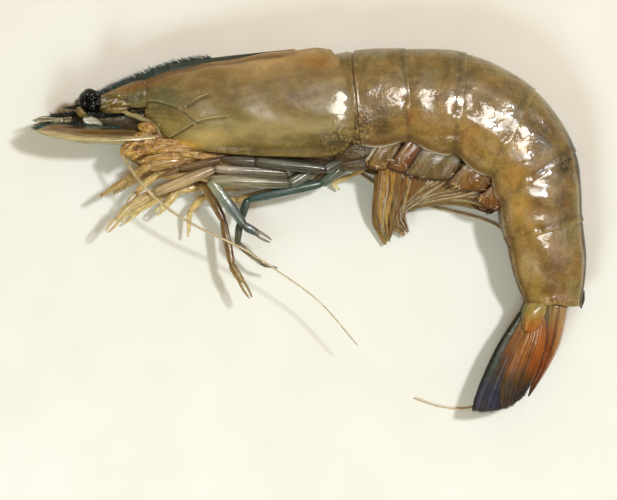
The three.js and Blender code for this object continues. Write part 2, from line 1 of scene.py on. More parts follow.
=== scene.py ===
# A whole raw prawn lying on its right side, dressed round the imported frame.
# Numbers in the tables are millimetres, as in the solids; the meshes are made in metres.
import math
import bpy
import bmesh
import numpy as np
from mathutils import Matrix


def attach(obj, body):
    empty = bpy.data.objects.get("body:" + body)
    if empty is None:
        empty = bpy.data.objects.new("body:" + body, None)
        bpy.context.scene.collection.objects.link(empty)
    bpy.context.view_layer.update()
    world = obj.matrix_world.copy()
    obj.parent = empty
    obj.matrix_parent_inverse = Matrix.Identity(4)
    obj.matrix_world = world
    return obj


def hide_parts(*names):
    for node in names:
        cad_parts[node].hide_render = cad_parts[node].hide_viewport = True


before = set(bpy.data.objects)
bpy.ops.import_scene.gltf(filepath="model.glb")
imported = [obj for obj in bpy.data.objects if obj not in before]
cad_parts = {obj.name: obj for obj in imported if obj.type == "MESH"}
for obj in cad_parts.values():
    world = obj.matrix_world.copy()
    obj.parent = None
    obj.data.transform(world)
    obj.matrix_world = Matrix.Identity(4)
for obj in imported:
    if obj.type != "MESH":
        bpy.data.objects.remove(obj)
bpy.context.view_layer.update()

mm = 0.001
midline = 9.8  # height of the plane of symmetry at the trunk
up = np.array([0.0, 0.0, 1.0])
sides = {"left": 1, "right": -1}
root = "root"


def unit(v):
    return v / np.maximum(np.linalg.norm(v, axis=-1, keepdims=True), 1e-9)


def ease(x, low, high):
    share = np.clip((np.asarray(x, float) - low) / (high - low), 0, 1)
    return share * share * (3 - 2 * share)


def bell(x, width):
    return np.exp(-(np.asarray(x) / width) ** 2)


# the rounded curve through a list of stops, the same one that the solids follow
def through(stops, t):
    p = np.asarray(stops, float)
    last = len(p) - 1
    s = np.clip(np.asarray(t, float), 0, 1) * last
    i = np.minimum(s.astype(int), last - 1)
    w = (s - i)[:, None]
    longer = np.vstack([2 * p[0] - p[1], p, 2 * p[-1] - p[-2]])
    a, b, c, d = (longer[i + k] for k in range(4))
    ab, bc, cd = (np.linalg.norm(v - u, axis=1)[:, None] ** 0.5 for u, v in ((a, b), (b, c), (c, d)))
    bc = np.where(bc < 1e-4, 1.0, bc)
    ab = np.where(ab < 1e-4, bc, ab)
    cd = np.where(cd < 1e-4, bc, cd)
    out = ((b - a) / ab - (c - a) / (ab + bc) + (c - b) / bc) * bc
    into = ((c - b) / bc - (d - b) / (bc + cd) + (d - c) / cd) * bc
    return b + out * w + (3 * (c - b) - 2 * out - into) * w ** 2 + (2 * (b - c) + out + into) * w ** 3


# how far each point of a side view lies from a line through a few stops
def farFrom(x, y, stops):
    line = through(stops, np.linspace(0, 1, 8 * len(stops)))
    best = np.full(x.shape, 1e9)
    for (ax, ay), (bx, by) in zip(line[:-1], line[1:]):
        dx, dy = bx - ax, by - ay
        s = np.clip(((x - ax) * dx + (y - ay) * dy) / (dx * dx + dy * dy + 1e-9), 0, 1)
        best = np.minimum(best, np.hypot(x - ax - s * dx, y - ay - s * dy))
    return best


# soft uneven waves, the same each run
def waves(points, size, seed):
    draw = np.random.default_rng(seed)
    total = 0
    for k in range(5):
        way = unit(draw.normal(size=3)) * 2 * math.pi / (size * (0.6 + 0.25 * k))
        total = total + np.sin(points @ way + draw.uniform(0, 6.3))
    return total / 5


# several layers of waves, each with its height, size and seed
def uneven(points, layers, relief=0):
    for height, size, seed in layers:
        relief = relief + height * waves(points, size, seed)
    return relief


def emptyShape():
    return {"points": [], "faces": [], "marks": {}, "count": 0}


# adds rings of points to a shape: marks are named numbers per point, and caps close the ends
def addRings(shape, grid, marks):
    rows, cols = grid.shape[:2]
    first = shape["count"]
    index = first + np.arange(rows * cols).reshape(rows, cols)
    nextCol = np.roll(index, -1, axis=1)
    quads = np.stack([index[:-1], nextCol[:-1], nextCol[1:], index[1:]], axis=-1).reshape(-1, 4)
    points = [grid.reshape(-1, 3)]
    marks = {name: np.broadcast_to(value, (rows, cols)) for name, value in marks.items()}
    values = {name: [value.ravel()] for name, value in marks.items()}
    faces = quads.tolist()
    spare = first + rows * cols
    for row, turn in ((0, -1), (rows - 1, 1)):
        points.append(grid[row].mean(0)[None])
        for name, value in marks.items():
            values[name].append(np.array([value[row].mean()]))
        ring = index[row][::turn]
        faces += [[int(a), int(b), spare] for a, b in zip(ring, np.roll(ring, -1))]
        spare += 1
    shape["points"] += points
    shape["faces"] += faces
    for name, parts in values.items():
        filled = shape["marks"].setdefault(name, [np.zeros(first)])
        filled += parts
    shape["count"] = spare
    for name, parts in shape["marks"].items():
        short = spare - sum(len(part) for part in parts)
        if short:
            parts.append(np.zeros(short))


# a shape becomes a piece of its own
def finishMesh(name, shape, material, slotName, *nodes):
    mesh = bpy.data.meshes.new(name)
    mesh.from_pydata((np.vstack(shape["points"]) * mm).tolist(), [], shape["faces"])
    for label, parts in shape["marks"].items():
        mark = mesh.attributes.new(label, "FLOAT", "POINT")
        mark.data.foreach_set("value", np.concatenate(parts).astype(np.float32))
    work = bmesh.new()
    work.from_mesh(mesh)
    bmesh.ops.recalc_face_normals(work, faces=work.faces)
    work.to_mesh(mesh)
    work.free()
    mesh.shade_smooth()
    mesh.materials.append(material)
    piece = bpy.data.objects.new(name, mesh)
    bpy.context.scene.collection.objects.link(piece)
    settle(piece, slotName, *nodes)


# a finished piece rides on the body and stands for its solid
def settle(piece, slotName, *nodes):
    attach(piece, root)
    if nodes:
        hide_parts(*nodes)


# rows and columns of each swept piece
fineness = {
    "brow": (70, 16), "spine": (24, 16), "fleshLump": (50, 30), "eyestalk": (60, 40), "eyeLump": (30, 20),
    "scale": (110, 56), "antennule": (130, 40), "shortWhip": (70, 14), "antennaBase": (90, 56),
    "baseLump": (44, 30), "mouth": (80, 30), "finger": (30, 14), "swimStem": (40, 30), "sheet": (60, 26),
    "bit": (14, 9), "paleBar": (50, 20), "telson": (150, 72), "fanStem": (50, 48), "fanBlade": (150, 90),
}


# rings along stops of x, y, z and radius: the ends close over two shares of the length,
# the profile thins or swells, relief pushes the surface out and crowd draws rings to the ends
def sweepRings(stops, rows, cols, flat=1.0, facing=up, ends=None, profile=None, relief=None, crowd=0.0):
    stops = np.asarray(stops, float)
    t = np.linspace(0, 1, rows)
    t = t + crowd * (0.5 - 0.5 * np.cos(math.pi * t) - t)
    path = through(stops[:, :3], t)
    along = unit(np.gradient(path, axis=0))
    wide = unit(np.cross(along, facing))
    thin = np.cross(wide, along)
    radius = np.interp(t * (len(stops) - 1), range(len(stops)), stops[:, 3])
    radius = radius * ((roundEnds(t, *ends) if ends else 1) * (profile(t) if profile else 1))
    angle = np.linspace(0, 2 * math.pi, cols, endpoint=False)
    push = relief(t[:, None], angle[None, :]) if relief else 0
    across = (radius[:, None] + push) * np.cos(angle)
    deep = (radius[:, None] * flat + push) * np.sin(angle)
    grid = path[:, None] + wide[:, None] * across[..., None] + thin[:, None] * deep[..., None]
    marks = {"along": t[:, None], "across": np.cos(angle)[None, :], "high": np.sin(angle)[None, :]}
    return grid, marks, {"path": path, "along": along, "wide": wide, "radius": radius}


# sweeps several lines of stops on one side into a shape
def addLines(shape, lines, side, rows, cols, flat=1.0, extra=None, **how):
    for stops in lines:
        grid, marks, _ = sweepRings(sided(stops, side), rows, cols, flat, **how)
        addRings(shape, onTable(grid), {**marks, **(extra(marks) if extra else {})})


# rings of a blade between two edge lines; the end bulges out and the face is domed
def bladeRings(left, right, rows, cols, thick, dome=0.0, bulge=0.0, relief=None, start=0.08, end=0.05):
    t = np.linspace(0, 1, rows)
    a, b = through(left, t), through(right, t)
    middle, half = (a + b) / 2, np.linalg.norm(a - b, axis=1) / 2
    wide = unit(a - b)
    along = unit(np.gradient(middle, axis=0))
    thin = unit(np.cross(wide, along))
    thin = thin * np.sign(thin[:, 2:3] + 1e-9)
    angle = np.linspace(0, 2 * math.pi, cols, endpoint=False)
    across, high = np.cos(angle)[None, :], np.sin(angle)[None, :]
    close = roundEnds(t, start, 0)[:, None]
    body = thick * roundEnds(t, start, end)[:, None]
    push = relief(t[:, None], angle[None, :]) if relief else 0
    deep = (body + push) * high + dome * (1 - across ** 2) * np.sin(math.pi * t)[:, None] ** 0.5
    grid = middle[:, None] + wide[:, None] * (half[:, None] * close * across)[..., None]
    grid = grid + thin[:, None] * deep[..., None]
    grid = grid + along[-1] * (bulge * (1 - across ** 2) * ease(t, 0.6, 1)[:, None])[..., None]
    marks = {"along": t[:, None], "across": across, "high": high}
    return grid, marks, {"left": a, "right": b, "wide": wide, "along": along}


# how a rounded end closes: 0 at both ends, 1 between
def roundEnds(t, start, end):
    near = np.clip(t / start, 0, 1) if start else np.ones_like(t)
    far = np.clip((1 - t) / end, 0, 1) if end else np.ones_like(t)
    return np.sqrt(np.clip(1 - (1 - near) ** 2, 0, 1)) * np.sqrt(np.clip(1 - (1 - far) ** 2, 0, 1)) + 0.02


def sided(stops, side, mid=midline):
    return [[x, y, mid + side * z, r] for x, y, z, r in stops]


def colour(code):
    parts = [int(code[i:i + 2], 16) / 255 for i in (1, 3, 5)]
    return [((p + 0.055) / 1.055) ** 2.4 if p > 0.04045 else p / 12.92 for p in parts] + [1.0]


def node(tree, kind, inputs=None, **settings):
    made = tree.nodes.new(kind)
    for name, value in settings.items():
        setattr(made, name, value)
    for label, value in (inputs or {}).items():
        socket = made.inputs[label]
        if isinstance(value, bpy.types.NodeSocket):
            tree.links.new(value, socket)
        else:
            socket.default_value = value
    return made


def newFinish(name):
    material = bpy.data.materials.new(name)
    material.use_nodes = True
    tree = material.node_tree
    shader = tree.nodes["Principled BSDF"]
    return material, tree, shader


def feed(tree, socket, value):
    if isinstance(value, bpy.types.NodeSocket):
        tree.links.new(value, socket)
    else:
        socket.default_value = colour(value) if isinstance(value, str) else value


def fillShader(tree, shader, values):
    for label, value in values.items():
        feed(tree, shader.inputs[label], value)


# place in millimetres, moved to a centre and squeezed by a size
def placed(tree, size=(1, 1, 1), centre=(0, 0, 0), turn=0.0):
    place = node(tree, "ShaderNodeTexCoord").outputs["Object"]
    return node(tree, "ShaderNodeMapping", {
        "Vector": place, "Location": [c * mm for c in centre], "Rotation": (0, 0, turn),
        "Scale": [s * mm for s in size]}, vector_type="TEXTURE").outputs[0]


def grainy(tree, size, detail=3.0, rough=0.55, warp=0.0, seed=0):
    size = size if isinstance(size, tuple) else (size,) * 3
    place = placed(tree, size, (seed * 7.3, seed * 3.1, seed * 1.7))
    return node(tree, "ShaderNodeTexNoise", {
        "Vector": place, "Scale": 1.0, "Detail": detail, "Roughness": rough,
        "Distortion": warp}).outputs["Fac"]


def ramp(tree, value, stops, smooth=False):
    made = node(tree, "ShaderNodeValToRGB", {0: value})
    band = made.color_ramp
    band.interpolation = "EASE" if smooth else "LINEAR"
    while len(band.elements) < len(stops):
        band.elements.new(0.5)
    for element, (at, shade) in zip(band.elements, stops):
        element.position = at
        element.color = colour(shade) if isinstance(shade, str) else (shade, shade, shade, 1)
    return made.outputs[0]


def blend(tree, factor, under, over, kind="MIX"):
    mix = node(tree, "ShaderNodeMix", data_type="RGBA", blend_type=kind)
    for place, value in ((0, factor), (6, under), (7, over)):
        feed(tree, mix.inputs[place], value)
    return mix.outputs[2]


def calc(tree, kind, a, b=0.0):
    return node(tree, "ShaderNodeMath", {0: a, 1: b}, operation=kind).outputs[0]


def times(tree, a, b):
    return calc(tree, "MULTIPLY", a, b)


# lays a shade over the base, as strong as a mask says
def tint(tree, base, mask, strength, shade, kind="MIX"):
    return blend(tree, times(tree, mask, strength), base, shade, kind)


# noise cut to soft patches between two levels
def patches(tree, levels, size, detail=3.0, rough=0.55, warp=0.0, seed=0):
    return ramp(tree, grainy(tree, size, detail, rough, warp, seed), [(levels[0], 0.0), (levels[1], 1.0)])


def marked(tree, name):
    return node(tree, "ShaderNodeAttribute", attribute_name=name).outputs["Fac"]


# a mark that wanders a little, so that bands of colour have no straight ends
def wandering(tree, name, size, strength):
    shift = times(tree, calc(tree, "SUBTRACT", grainy(tree, size, seed=1), 0.5), strength)
    return calc(tree, "ADD", marked(tree, name), shift)


# noise drawn out along a limb or blade, so that it makes lengthwise streaks
def streaks(tree, long, round, seed):
    turned = times(tree, marked(tree, "high"), round)
    place = node(tree, "ShaderNodeCombineXYZ", {
        0: times(tree, marked(tree, "along"), long), 1: times(tree, marked(tree, "across"), round),
        2: calc(tree, "ADD", turned, seed * 5.3)})
    return node(tree, "ShaderNodeTexNoise", {"Vector": place.outputs[0], "Scale": 1.0,
                                             "Detail": 3.0}).outputs["Fac"]


# dark lines and pale glints from streaks: the levels are where a line ends and a glint begins
def streaked(tree, base, cut, look, line, glint):
    base = tint(tree, base, ramp(tree, cut, [(line[0], 1.0), (line[1], 0.0)]), look["lines"], look["line"])
    return tint(tree, base, ramp(tree, cut, [(glint[0], 0.0), (glint[1], 1.0)]), look["glints"],
                look["glint"])


# 1 at the middle of an oval spot on the side view, 0 outside it
def spot(tree, centre, size, turn=0.0):
    place = placed(tree, (*size, 400), (*centre, 0), turn)
    away = node(tree, "ShaderNodeVectorMath", {0: place}, operation="LENGTH").outputs["Value"]
    return ramp(tree, away, [(0.1, 1.0), (1.0, 0.0)], True)


def bumpy(tree, height, strength, depth, under=None):
    bump = node(tree, "ShaderNodeBump", {"Height": height, "Strength": strength, "Distance": depth * mm})
    if under is not None:
        tree.links.new(under, bump.inputs["Normal"])
    return bump.outputs[0]


# what a finish leaves out of its look; lengths in millimetres
wetLook = {
    "cast": "#f8fbec", "wrinkle": 1.8, "wrinkleStrength": 0.5, "wrinkleDepth": 0.25,
    "pit": 0.5, "pitStrength": 0.3, "pitDepth": 0.05, "rough": (0.22, 0.42), "shine": 0.5,
    "film": 0.6, "filmRough": 0.12, "gloss spots": [], "dullBy": 0.75, "glow": 0.25, "glowDepth": 1.6,
}


# a wet skin: soft light inside, a clear film on top, wrinkles that break the highlights
def wet(tree, shader, look, base, more=()):
    look = {**wetLook, **look}
    wrinkles = grainy(tree, look["wrinkle"], 2.0, 0.5, 0.6, seed=3)
    pits = grainy(tree, look["pit"], 3.0, 0.6, seed=5)
    normal = bumpy(tree, wrinkles, look["wrinkleStrength"], look["wrinkleDepth"])
    for height, strength, depth in ((pits, look["pitStrength"], look["pitDepth"]), *more):
        normal = bumpy(tree, height, strength, depth, normal)
    gloss, film = look["filmRough"], look["film"]
    for centre, size, change in look["gloss spots"]:
        here = ramp(tree, spot(tree, centre, size), [(0.2, 0.0), (0.7, 1.0)])
        gloss = calc(tree, "ADD", times(tree, here, change), gloss)
        if change < 0:  # a glossier spot has the whole film
            film = calc(tree, "MAXIMUM", here, look["film"])
    if "dull" in look:
        film = calc(tree, "SUBTRACT", film, times(tree, marked(tree, look["dull"]), look["dullBy"]))
    low, high = look["rough"]
    fillShader(tree, shader, {
        "Base Color": blend(tree, 1.0, base, look["cast"], "MULTIPLY"), "Normal": normal,
        "Coat Normal": normal,
        "Roughness": ramp(tree, grainy(tree, 2.6, seed=9), [(0.3, low), (0.7, high)]),
        "IOR": 1.45, "Specular IOR Level": look["shine"],
        "Coat Weight": film, "Coat Roughness": gloss, "Coat IOR": 1.36,
        "Subsurface Weight": look["glow"], "Subsurface Radius": (1.0, 0.55, 0.25),
        "Subsurface Scale": look["glowDepth"] * mm})


shellLook = {
    "wrinkle": 3.2, "wrinkleStrength": 0.3, "wrinkleDepth": 0.25,
    "pit": 0.8, "pitStrength": 0.35, "pitDepth": 0.05,
    "rough": (0.35, 0.55), "film": 1.0, "filmRough": 0.05, "shine": 0.35,
    "glow": 0.2, "glowDepth": 1.6,
}


# a shell finish: colour from the back to the free edge, then spots, mottling and marked lines
def shellFinish(name, look):
    material, tree, shader = newFinish(name)
    base = ramp(tree, wandering(tree, "around", (9, 5, 5), 0.22), look["bands"])
    for centre, size, shade, strength, *turn in look["spots"]:
        base = tint(tree, base, spot(tree, centre, size, sum(turn)), strength, shade)
    cloud = patches(tree, (0.38, 0.62), look["cloudSize"], 4.0, 0.6, 0.8, seed=2)
    base = tint(tree, base, cloud, look["cloud"], look["cloudShade"], "MULTIPLY")
    pale = patches(tree, (0.5, 0.72), (3.0, 2.2, 2.2), 3.0, 0.6, 0.4, seed=6)
    base = tint(tree, base, pale, look["pale"], look["paleShade"])
    blush = patches(tree, (0.48, 0.68), (6, 4.5, 5), 3.0, 0.55, 0.5, seed=13)
    base = tint(tree, base, blush, look["blush"], look["blushShade"])
    grain = grainy(tree, 0.42, 2.0, 0.5, seed=4)
    base = tint(tree, base, ramp(tree, grain, [(0.30, 1.0), (0.44, 0.0)]), look["fleck"], look["fleckShade"])
    base = tint(tree, base, ramp(tree, grain, [(0.56, 0.0), (0.7, 1.0)]), look["fleck"], look["paleShade"])
    for label, shade, strength in look["lines"]:
        base = tint(tree, base, marked(tree, label), strength, shade)
    # rough hairy patches: a crumpled surface with dark and pale flecks
    crumple = grainy(tree, look["crumple"], 4.0, 0.7, 0.6, seed=11)
    dark = ramp(tree, crumple, [(0.42, 1.0), (0.5, 0.0)])
    light = ramp(tree, crumple, [(0.53, 0.0), (0.61, 1.0)])
    more = []
    for centre, size, strength in look["rough spots"]:
        mask = times(tree, spot(tree, centre, size), strength)
        more.append((times(tree, crumple, mask), 0.9, 0.9))
        base = tint(tree, base, times(tree, dark, mask), 0.85, look["crumpleDark"])
        base = tint(tree, base, times(tree, light, mask), 0.75, look["crumpleLight"])
    wet(tree, shader, {**shellLook, **look}, base, more)
    return material


headFinish = shellFinish("headShell", {
    "bands": [(0.0, "#8f6c3a"), (0.05, "#b48f56"), (0.16, "#bd9c68"), (0.34, "#9b8055"), (0.5, "#87704a"),
              (0.66, "#8f7a4e"), (0.76, "#a38d5c"), (0.88, "#8d7845"), (1.0, "#7b6234")],
    "spots": [
        ((2.0, 46.2), (8, 3.2), "#b87b34", 0.6),
        ((-14, 47.0), (18, 2.2), "#cf9f5c", 0.7),
        ((-15, 45.4), (17, 2.4), "#d3b184", 0.75),
        ((-6, 35.5), (17, 6.5), "#735c39", 0.65),
        ((8.5, 41.2), (4, 3.4), "#b89c6c", 0.6),
        ((-14, 43.2), (14, 3.2), "#bb9a68", 0.6),
        ((-24, 29.5), (12, 4.0), "#9d8c58", 0.6),
        ((-27, 25.2), (11, 3.4), "#c8ab70", 0.85),
        ((5.5, 23.6), (17, 5.0), "#5a4720", 0.85),
        ((-12, 21.6), (14, 2.2), "#67562b", 0.8),
        ((-38, 23.2), (11, 2.4), "#f2b148", 1.0),
        ((-44, 40.0), (8, 1.8), "#9a6a2e", 0.7, 0.38),
        ((-42, 33.5), (9, 4.0), "#75693c", 0.5),
        ((-40, 36.5), (13, 6.0), "#686749", 0.8),
        ((-38, 29.5), (7, 3.4), "#93793a", 0.6),
        ((-49, 35.4), (8, 3.6), "#6d6438", 0.8),
        ((-46, 38.2), (5, 2.2), "#5c6047", 0.7),
        ((-47, 39.0), (5, 5), "#6a6040", 0.5),
        ((-47, 40.2), (11, 1.9), "#8a5c22", 0.85, 0.38),
        ((-47, 42.3), (11, 1.5), "#3a554f", 0.85, 0.4),
        ((10.5, 30.0), (3.4, 9.0), "#8a6f3a", 0.5),
    ],
    "cloudSize": (8, 5, 5), "cloud": 0.42, "cloudShade": "#a08a64",
    "pale": 0.25, "paleShade": "#b79d68", "blush": 0.22, "blushShade": "#a5803f",
    "fleck": 0.28, "fleckShade": "#5c4827",
    # painted light among these lines: the groove lines are painted shade in the creases, the ridge lines
    # painted highlights on raised lines, the inside painted shade under the shell
    "lines": [("crest", "#1b3631", 0.94), ("stripe", "#7c5425", 0.6), ("groove", "#40331a", 0.8),
              ("ridge", "#cfc196", 0.4), ("rim", "#a88d55", 0.2), ("inside", "#35240f", 0.95)],
    "crumple": 0.8, "crumpleDark": "#33260f", "crumpleLight": "#c0a15a",
    "rough spots": [((9.0, 25.0), (9, 6.5), 0.9), ((-20, 21.6), (16, 1.4), 0.4),
                    ((-51, 35.0), (5.5, 3.2), 0.8), ((-43.5, 28.0), (4.4, 3.6), 1.0)],
    "film": 0.3, "filmRough": 0.3, "shine": 0.28, "gloss spots": [((11.0, 33.0), (9.0, 12.0), -0.25)],
})

tailFinish = shellFinish("tailShell", {
    "bands": [(0.0, "#7d6e49"), (0.07, "#938761"), (0.22, "#8c7f57"), (0.4, "#827043"), (0.6, "#8a6a31"),
              (0.8, "#9c7d3b"), (0.95, "#967b42"), (1.0, "#7f6333")],
    "spots": [
        ((9.5, 46.5), (6, 4), "#8d7848", 0.5),
        ((19.5, 29.5), (9.5, 8), "#533c0e", 0.95),
        ((12.5, 27.0), (6.5, 9), "#5a431c", 0.85),
        ((27.6, 31.0), (2.2, 5.5), "#94571c", 0.7),
        ((33.0, 28.8), (5.5, 4.0), "#ad8448", 0.7),
        ((36.8, 29.0), (1.6, 5.5), "#7d5120", 0.65),
        ((43.0, 26.0), (6.0, 4.5), "#a87a3e", 0.7),
        ((47.5, 22.0), (6.0, 3.5), "#a8823f", 0.7),
        ((56.0, 15.0), (4.4, 6.5), "#b98436", 0.85),
        ((58.0, 5.5), (4.2, 5.5), "#cda052", 0.85),
        ((60.5, 1.5), (3.0, 4.0), "#b58a42", 0.7),
        ((54.0, 38.5), (9, 4.5), "#83694a", 0.65),
        ((65.5, 27.0), (6.0, 8.0), "#4e412b", 0.85),
        ((71.0, 18.5), (5.5, 8.5), "#33291a", 0.95),
        ((62.6, 8.4), (4.6, 5.5), "#7c5016", 0.8),
        ((58.5, 22.5), (4.0, 3.0), "#c08f45", 0.5),
        ((63.0, 17.0), (4, 4), "#8d7350", 0.7),
        ((70.5, 9.0), (4.5, 9.0), "#6e4d2b", 0.7),
        ((61.0, -9.0), (4.5, 7.0), "#b1986c", 0.8),
        ((68.5, -9.0), (5.8, 9.0), "#836039", 0.85),
        ((73.8, -9.0), (2.2, 8.0), "#8f6334", 0.6),
        ((60.0, -2.0), (3.2, 6.0), "#ab8540", 0.6),
        ((70.0, -18.5), (6, 2.6), "#a87658", 0.5),
    ],
    "cloudSize": (4.5, 7.0, 6), "cloud": 0.6, "cloudShade": "#9d8254", "cast": "#fbfaec",
    "pale": 0.45, "paleShade": "#b5985e", "blush": 0.34, "blushShade": "#a4762f",
    "fleck": 0.36, "fleckShade": "#5a421f", "pit": 1.0, "pitStrength": 0.5, "pitDepth": 0.12,
    "wrinkle": 2.6, "wrinkleStrength": 0.4,
    # painted light among these lines: the groove lines are painted shade in the seams' dips, the lip a
    # painted wet highlight, the inside painted shade under the rings, the ridge lines a painted highlight on
    # the hinge knobs
    "lines": [("keel", "#090706", 1.0), ("groove", "#43331a", 0.6), ("ridge", "#cdb788", 0.4),
              ("rim", "#c0a468", 0.3), ("edge", "#4e3216", 0.6), ("lip", "#f2ecda", 0.95),
              ("inside", "#35200c", 0.95)],
    "crumple": 0.75, "crumpleDark": "#33230c", "crumpleLight": "#c9a75c",
    "rough spots": [((12.5, 27.5), (7.0, 8.5), 1.0), ((37.0, 24.5), (8.0, 1.6), 0.5),
                    ((54.5, 5.0), (2.0, 8.0), 0.4), ((68.0, -19.5), (8.0, 1.8), 0.5)],
    "gloss spots": [((20.5, 37.4), (9, 6), 0.07), ((35.0, 36.0), (7, 5), 0.03), ((57.0, 20.5), (4, 3), 0.3),
                    ((54.5, 29.0), (4, 3.6), 0.25)],
})


# under is the painted shade on the lower side of a limb; the glints are painted highlights
limbLook = {
    "cloud": 0.6, "cloudShade": "#a98c66", "under": "#6b4c28", "line": "#4f351a", "lines": 0.6,
    "glint": "#efe6cd", "glints": 0.2, "jointShade": "#3f2813", "tipShade": "#6f5a35", "cuts": (7.0, 3.2),
    "wrinkle": 1.0, "wrinkleDepth": 0.14, "pit": 0.3, "pitDepth": 0.03,
    "rough": (0.35, 0.55), "film": 1.0, "filmRough": 0.04, "glow": 0.3, "glowDepth": 0.9,
}


# a limb finish: colours along the limb, darker at the joints, with lengthwise streaks and painted
# glints; the lower side is painted darker as shade
def limbFinish(name, stops, look):
    look = {**limbLook, **look}
    material, tree, shader = newFinish(name)
    base = ramp(tree, wandering(tree, "along", 3.0, 0.12), stops)
    cloud = patches(tree, (0.36, 0.66), 1.6, 4.0, 0.65, 1.0, seed=2)
    base = tint(tree, base, cloud, look["cloud"], look["cloudShade"], "MULTIPLY")
    # painted shade: the lower side of the limb is darker
    low = calc(tree, "ADD", times(tree, marked(tree, "high"), -0.5), 0.5)
    base = tint(tree, base, ramp(tree, low, [(0.3, 0.0), (0.9, 1.0)]), 0.55, look["under"])
    cut = streaks(tree, *look["cuts"], seed=1)
    base = streaked(tree, base, cut, look, (0.36, 0.47), (0.56, 0.66))
    base = tint(tree, base, marked(tree, "joint"), 0.55, look["jointShade"])
    base = blend(tree, marked(tree, "tip"), base, look["tipShade"])
    wet(tree, shader, look, base, [(cut, 0.8, 0.12)])
    return material


goldLimb = limbFinish("goldLimb", [(0, "#8d5f2c"), (0.3, "#b88a48"), (0.6, "#c9a262"), (1, "#d2b47a")],
                      {"lines": 0.75})
rawGold = limbFinish("rawGold", [(0, "#96692a"), (0.4, "#c48d36"), (1, "#d8a850")],
                     {"wrinkle": 0.55, "wrinkleStrength": 1.0, "wrinkleDepth": 0.4, "lines": 0.65,
                      "glints": 0.35,
                      "cuts": (6.0, 2.8), "line": "#4a2c0f", "filmRough": 0.05, "pit": 0.25,
                      "pitStrength": 0.6})
stalkFinish = limbFinish("stalk", [(0, "#73622f"), (0.5, "#8f7634"), (1, "#655221")],
                         {"wrinkle": 0.9, "wrinkleStrength": 0.9, "wrinkleDepth": 0.4, "glint": "#e9c468",
                          "line": "#1d1708", "lines": 0.5, "under": "#2b2410", "cuts": (2.0, 1.2),
                          "film": 0.9, "filmRough": 0.06, "glints": 0.3})
tanLimb = limbFinish("tanLimb", [(0, "#8a6434"), (0.35, "#c09659"), (0.6, "#e4be78"), (0.85, "#f8d890"),
                                 (1, "#ffe9ac")], {"lines": 0.45})
brownLimb = limbFinish("brownLimb", [(0, "#7d5a30"), (0.4, "#c9a976"), (0.55, "#b8955c"), (0.6, "#80592a"),
                                     (0.8, "#83602e"), (0.9, "#a98b50"), (1, "#a58c5a")],
                       {"tipShade": "#9c8350"})
mauveLimb = limbFinish("mauveLimb", [(0, "#57503f"), (0.12, "#6b6252"), (0.3, "#7f7062"), (0.42, "#a58a70"),
                                     (0.55, "#c8a880"), (0.8, "#dcbf88"), (1, "#e4cc98")],
                       {"under": "#6b4f2e", "cloud": 0.4, "line": "#3d332a", "glint": "#e9dccb",
                        "glints": 0.35, "tipShade": "#8a713f"})
blueLimb = limbFinish("blueLimb", [(0, "#57543f"), (0.14, "#5f6050"), (0.36, "#7f765c"), (0.52, "#978a6a"),
                                   (0.6, "#9d9a84"), (0.74, "#66767a"), (0.9, "#3b4f58"), (1, "#b09b6e")],
                      {"jointShade": "#33291a", "under": "#494a38", "cloud": 0.35, "line": "#333527",
                       "glint": "#e6dfca", "glints": 0.35, "tipShade": "#c9b68a"})
greyLimb = limbFinish("greyLimb", [(0, "#4c4a3c"), (0.3, "#484638"), (0.55, "#524838"), (0.62, "#4a3116"),
                                   (0.8, "#7b5426"), (1, "#8a6a3a")],
                      {"jointShade": "#2a1a0b", "under": "#332b1e", "cloud": 0.4, "line": "#24221a",
                       "glint": "#8d8c80", "glints": 0.35})
tealLimb = limbFinish("tealLimb", [(0, "#6b6440"), (0.14, "#465d54"), (0.42, "#2a4a4b"), (0.62, "#335049"),
                                   (0.72, "#4f5137"), (0.85, "#75693c"), (1, "#69603a")],
                      {"jointShade": "#1c231b", "under": "#6b5c36", "cloud": 0.35, "line": "#1a2422",
                       "glint": "#7b8c84", "glints": 0.3})


bladeLook = {
    "cuts": (3.0, 3.0), "cutDepth": 0.2, "line": "#3c2412", "lines": 0.6, "glint": "#c9b791", "glints": 0.3,
    "pit": 0.35, "pitDepth": 0.03, "film": 1.0, "filmRough": 0.07,
}


# thin blades: colour along them, marked zones, streaks, and paler or darker rims
def bladeFinish(name, look):
    look = {**bladeLook, **look}
    material, tree, shader = newFinish(name)
    base = ramp(tree, wandering(tree, "along", look["stir"], 0.3), look["along"])
    for label, shade, strength in look["zones"]:
        base = tint(tree, base, marked(tree, label), strength, shade)
    cloud = patches(tree, (0.36, 0.64), look["cloudSize"], 4.0, 0.65, 0.8, seed=2)
    base = tint(tree, base, cloud, look["cloud"], look["cloudShade"], "MULTIPLY")
    cut = streaks(tree, *look["cuts"], seed=2)
    base = streaked(tree, base, cut, look, (0.38, 0.48), (0.55, 0.64))
    for label, shade, strength in look["edges"]:
        base = tint(tree, base, marked(tree, label), strength, shade)
    wet(tree, shader, look, base, [(cut, 0.8, look["cutDepth"])])
    return material


swimFinish = bladeFinish("swimmeretSkin", {
    "stir": (2, 2, 2), "cloudSize": (1.2, 2.0, 2), "cloud": 0.6, "cloudShade": "#94703e",
    "along": [(0, "#7d5c28"), (0.26, "#9a6c2a"), (0.36, "#bf8434"), (0.6, "#cf9a48"), (0.85, "#d2ae68"),
              (1, "#d8c088")],
    # base is painted shade under the shell; outline is partly the plates' own dark rims, partly painted shade
    "zones": [("tone", "#54301a", 0.85), ("russet", "#74350c", 0.85), ("olive", "#66582c", 0.75),
              ("base", "#2f1a09", 0.7), ("fair", "#d6c8bc", 0.9)],
    "lines": 0.35, "line": "#4a2c10", "glint": "#cdb98e", "glints": 0.2, "cuts": (2.2, 1.7), "cutDepth": 0.12,
    "edges": [("outline", "#2c1708", 0.8), ("rim", "#d5c8a8", 0.4)],
    "wrinkle": 1.1, "wrinkleDepth": 0.18, "wrinkleStrength": 0.6, "rough": (0.3, 0.5),
    "filmRough": 0.06, "glow": 0.3, "glowDepth": 0.8, "dull": "plate",
})
